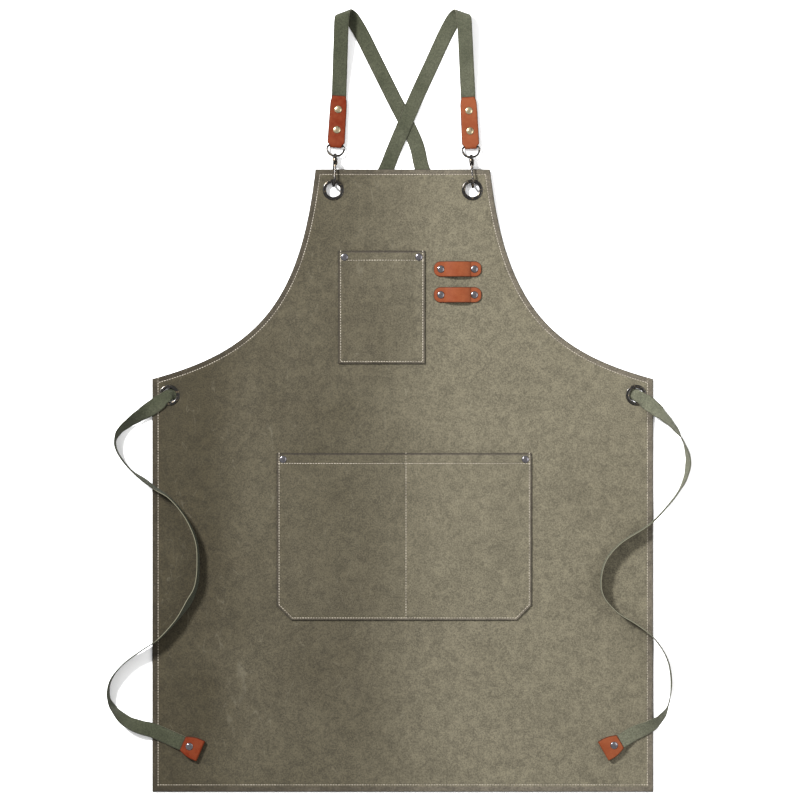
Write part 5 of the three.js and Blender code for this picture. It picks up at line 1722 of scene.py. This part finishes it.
class MakeStage(Operator):
    """Make the floor, the studio lights and the camera above the apron"""
    bl_idname = "apron.stage"
    bl_label = "Stage"

    def execute(self, context):
        colours = context.scene.apron_colours
        mesh = bpy.data.meshes.new("floor")
        mesh.from_pydata([(-6, -6, 0), (6, -6, 0), (6, 6, 0), (-6, 6, 0)], [], [(0, 1, 2, 3)])
        mesh.materials.append(floor_material(colours))
        floor = bpy.data.objects.new("floor", mesh)
        context.scene.collection.objects.link(floor)
        self.light_world(context.scene)
        self.add_softbox(context, "key_light", (-2.1, 2.3, 2.9), (0, 0.5, 0), 0.6, 396)
        self.add_softbox(context, "right_light", (1.05, 0.55, 0.95), (0.2, 0.5, 0), 1.0, 11)
        self.add_camera(context)
        context.scene.view_settings.view_transform = "Standard"
        return {"FINISHED"}

    def light_world(self, scene):
        world = bpy.data.worlds.new("studio")
        world.use_nodes = True
        background = world.node_tree.nodes["Background"]
        background.inputs["Color"].default_value = (1, 1, 1, 1)
        background.inputs["Strength"].default_value = 0.87
        scene.world = world

    def add_softbox(self, context, name, place, target, size, power):
        light = bpy.data.lights.new(name, "AREA")
        light.size = size
        light.energy = power
        thing = bpy.data.objects.new(name, light)
        thing.location = place
        thing.rotation_euler = (Vector(target) - Vector(place)).to_track_quat("-Z", "Y").to_euler()
        context.scene.collection.objects.link(thing)

    def add_camera(self, context):
        frame_width, centre, height = 1.0858, (-0.0037, 0.5265), 6.0
        camera = bpy.data.cameras.new("camera")
        camera.sensor_width = 36
        camera.lens = camera.sensor_width * (height - SHEET_TOP * MM) / frame_width
        camera.clip_end = 50
        thing = bpy.data.objects.new("camera", camera)
        thing.location = (*centre, height)
        context.scene.collection.objects.link(thing)
        context.scene.camera = thing


class MakeMaterials(Operator):
    """Make the canvas, webbing, leather, thread and metal finishes"""
    bl_idname = "apron.materials"
    bl_label = "Finishes"

    def execute(self, context):
        sizes, colours = context.scene.apron_sizes, context.scene.apron_colours
        for make in (plain_weave_group, herringbone_group, worn_marks_group, edge_wear_and_shade_group, grain_group,
                     handled_metal_group):
            make()
        canvas_material("panel_canvas", sizes, colours, SIDE_SEAM, 1.3)
        canvas_material("pocket_canvas", sizes, colours, 3.2, 1.8)
        webbing_material(sizes, colours)
        leather_material(colours)
        thread_material(colours)
        metal_material("rivet_nickel", colours.nickel, colours.tarnish, 0.14, 0.30)
        metal_material("hook_nickel", colours.dark_nickel, colours.bared_brass, 0.14, 0.30)
        metal_material("rivet_brass", colours.brass, colours.tarnish, 0.16, 0.34)
        return {"FINISHED"}


class MakePanel(Operator):
    """Make the canvas panel with its hems, its holes and its unevenness"""
    bl_idname = "apron.panel"
    bl_label = "Panel"

    def execute(self, context):
        sizes = context.scene.apron_sizes
        outline = panel_outline()
        depths = (0.2, 0.6, 1.2, 2.4, 4, 5.6, 6.4, 7.2, 8, 8.8, 9.8, 10.7, 11.3, 12.8)
        holes = [(sign * x, y, EYELET_CUT) for x, y in (BIB_EYELET, SIDE_EYELET) for sign in (-1, 1)]
        for name in rivet_nodes("pocket") + rivet_nodes("keeper"):
            low, high = node_box(name)
            holes.append(((low.x + high.x) / 2, (low.y + high.y) / 2, RIVET_CUT))
        seams = panel_seams()

        def top(x, y, edge):
            return panel_top(x, y, edge, sizes) - seam_dip(x, y, seams, sizes.seam_depth / MM)

        def bottom(x, y, edge):
            return panel_bottom(x, y, edge, sizes)

        points, faces, edge = cloth_sheet(outline, depths, [], holes, sizes.net_spacing / MM, top, bottom)
        panel = piece("canvas_panel", points, faces, material_named("panel_canvas"), ["main_panel"],
                      edge=edge)
        return {"FINISHED"}


def rivet_nodes(word):
    return [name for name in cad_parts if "rivet" in name and word in name]


class MakePockets(Operator):
    """Make the chest pocket and the hip pocket"""
    bl_idname = "apron.pockets"
    bl_label = "Pockets"

    def execute(self, context):
        for name, pocket in (("chest_pocket", CHEST_POCKET), ("hip_pocket", HIP_POCKET)):
            self.make_pocket(name, pocket)
        return {"FINISHED"}

    def make_pocket(self, name, pocket):
        seams = pocket_seams(pocket)
        holes = []
        for rivet in rivet_nodes(name):
            low, high = node_box(rivet)
            holes.append(((low.x + high.x) / 2, (low.y + high.y) / 2, RIVET_CUT))

        def top(x, y, edge):
            return pocket_top(pocket, x, y, edge, seams)

        def bottom(x, y, edge):
            return pocket_bottom(pocket, x, y, edge)

        points, faces, edge = cloth_sheet(pocket_outline(pocket), POCKET_DEPTHS, seams[1:], holes, POCKET_NET,
                                          top, bottom)
        # Painted shade: the edge distance is cut short along the mouth, so that the dark edge colour paints
        # the shade of the opening there.
        below_mouth = pocket["foot"] + pocket["height"] - points[:, 1]
        edge = edge * (1 - MOUTH_SHADE_SHARE * smooth((MOUTH_SHADE_DEPTH - below_mouth) / MOUTH_SHADE_FADE))
        thing = piece(name + "_cloth", points, faces, material_named("pocket_canvas"), [name],
                      edge=edge)


class MakeKeepers(Operator):
    """Make the two leather keeper loops"""
    bl_idname = "apron.keepers"
    bl_label = "Keeper loops"

    def execute(self, context):
        for name in ("upper_keeper_loop", "lower_keeper_loop"):
            low, high = node_box(name)
            points, faces, edge, _ = strip(keeper_stations((low.y + high.y) / 2), LEATHER, 6)
            piece(name + "_leather", points, faces, material_named("burnished_leather"), [name],
                  edge=edge)
        return {"FINISHED"}


class MakeStraps(Operator):
    """Make the two shoulder straps, each with the waist tie that it ends in"""
    bl_idname = "apron.straps"
    bl_label = "Straps and ties"

    def execute(self, context):
        for side in SIDES:
            points, faces, edge, uv = strip(strap_stations(side), STRAP, 6, rounded_ends=False)
            piece(side + "_webbing", points, faces, material_named("ribbed_webbing"),
                  [side + "_shoulder_strap"], edge=edge, uv=uv)
        return {"FINISHED"}


class MakeTabs(Operator):
    """Make the leather tabs of the hooks and the leather tips of the ties"""
    bl_idname = "apron.tabs"
    bl_label = "Tabs and tips"

    def execute(self, context):
        for side in SIDES:
            for node, stations, matrix in ((side + "_strap_tab", tab_stations(), tab_frame(side)),
                                           (side + "_tie_tip", tip_stations(), tip_frame(side))):
                points, faces, edge, _ = strip(stations, LEATHER, 8)
                points, faces = moved((points, faces), matrix)
                piece(node + "_leather", points, faces, material_named("burnished_leather"), [node],
                      edge=edge)
        return {"FINISHED"}


class MakeHooks(Operator):
    """Make the bails, the snap hooks and their gates"""
    bl_idname = "apron.hooks"
    bl_label = "Hooks"

    def execute(self, context):
        metal = material_named("hook_nickel")
        for side in SIDES:
            for node, shape, matrix, body in (
                (side + "_hook_bail", bail_shape(), tab_frame(side), "apron"),
                (side + "_hook_body", hook_shape(), hook_frame(side), "apron"),
                (side + "_hook_gate", gate_shape(), hook_frame(side), "gate_" + side),
            ):
                points, faces = moved(shape, matrix)
                piece(node + "_metal", points, faces, metal, [node], body=body,
                      corner_angle=40)
        return {"FINISHED"}


class MakeFittings(Operator):
    """Make the eyelets and the rivets where the frame has them"""
    bl_idname = "apron.fittings"
    bl_label = "Eyelets and rivets"

    def execute(self, context):
        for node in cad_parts:
            if "eyelet" in node:
                self.make_fitting(node, eyelet_shape, "dark_nickel", "hook_nickel")
            elif "tab_rivet" in node:
                self.make_fitting(node, rivet_shape, "brass", "rivet_brass")
            elif "rivet" in node:
                self.make_fitting(node, rivet_shape, "nickel", "rivet_nickel")
        return {"FINISHED"}

    def make_fitting(self, node, shape, slot, metal):
        low, high = node_box(node)
        place = Matrix.Translation(((low.x + high.x) / 2, (low.y + high.y) / 2, 0))
        points, faces = moved(shape(low.z, high.z), place)
        piece(node + "_metal", points, faces, material_named(metal), [node], corner_angle=50)


class MakeStitching(Operator):
    """Make the rows of stitches on the panel and the pockets"""
    bl_idname = "apron.stitching"
    bl_label = "Stitching"

    def execute(self, context):
        sizes = context.scene.apron_sizes
        outline = panel_outline()
        dip = sizes.seam_depth / MM
        lines = []
        for seam in panel_seams():
            x, y = np.asarray(seam, dtype=float).T
            height = panel_top(x, y, distances(seam, outline), sizes) - dip + 0.15
            lines.append(np.stack([x, y, height], axis=1).tolist())
        stitched("panel_stitches", lines, sizes)
        for name, pocket in (("chest_pocket", CHEST_POCKET), ("hip_pocket", HIP_POCKET)):
            seams = pocket_seams(pocket)
            edges = pocket_outline(pocket)
            lines = []
            for seam in seams:
                x, y = np.asarray(seam, dtype=float).T
                height = pocket_top(pocket, x, y, distances(seam, edges), seams) + 0.15
                lines.append(np.stack([x, y, height], axis=1).tolist())
            stitched(name + "_stitches", lines, sizes)
        return {"FINISHED"}


OPERATORS = (MakeMaterials, MakeStage, MakePanel, MakePockets, MakeKeepers, MakeStraps, MakeTabs, MakeHooks,
             MakeFittings, MakeStitching)


class ApronPanel(Panel):
    """Lists the steps that make the apron, with its sizes and colours"""
    bl_idname = "VIEW3D_PT_apron"
    bl_label = "Work apron"
    bl_space_type = "VIEW_3D"
    bl_region_type = "UI"
    bl_category = "Apron"

    def draw(self, context):
        for step in OPERATORS:
            self.layout.operator(step.bl_idname)
        for settings in (context.scene.apron_sizes, context.scene.apron_colours):
            box = self.layout.box()
            for name in settings.bl_rna.properties.keys():
                if name not in {"rna_type", "name"}:
                    box.prop(settings, name)


CLASSES = (ApronSizes, ApronColours, *OPERATORS, ApronPanel)


def register():
    for item in CLASSES:
        bpy.utils.register_class(item)
    bpy.types.Scene.apron_sizes = PointerProperty(type=ApronSizes)
    bpy.types.Scene.apron_colours = PointerProperty(type=ApronColours)


def unregister():
    del bpy.types.Scene.apron_colours
    del bpy.types.Scene.apron_sizes
    for item in reversed(CLASSES):
        bpy.utils.unregister_class(item)


def main():
    register()
    bpy.ops.apron.materials()
    bpy.ops.apron.stage()
    bpy.ops.apron.panel()
    bpy.ops.apron.pockets()
    bpy.ops.apron.keepers()
    bpy.ops.apron.straps()
    bpy.ops.apron.tabs()
    bpy.ops.apron.hooks()
    bpy.ops.apron.fittings()
    bpy.ops.apron.stitching()


if __name__ == "__main__":
    main()
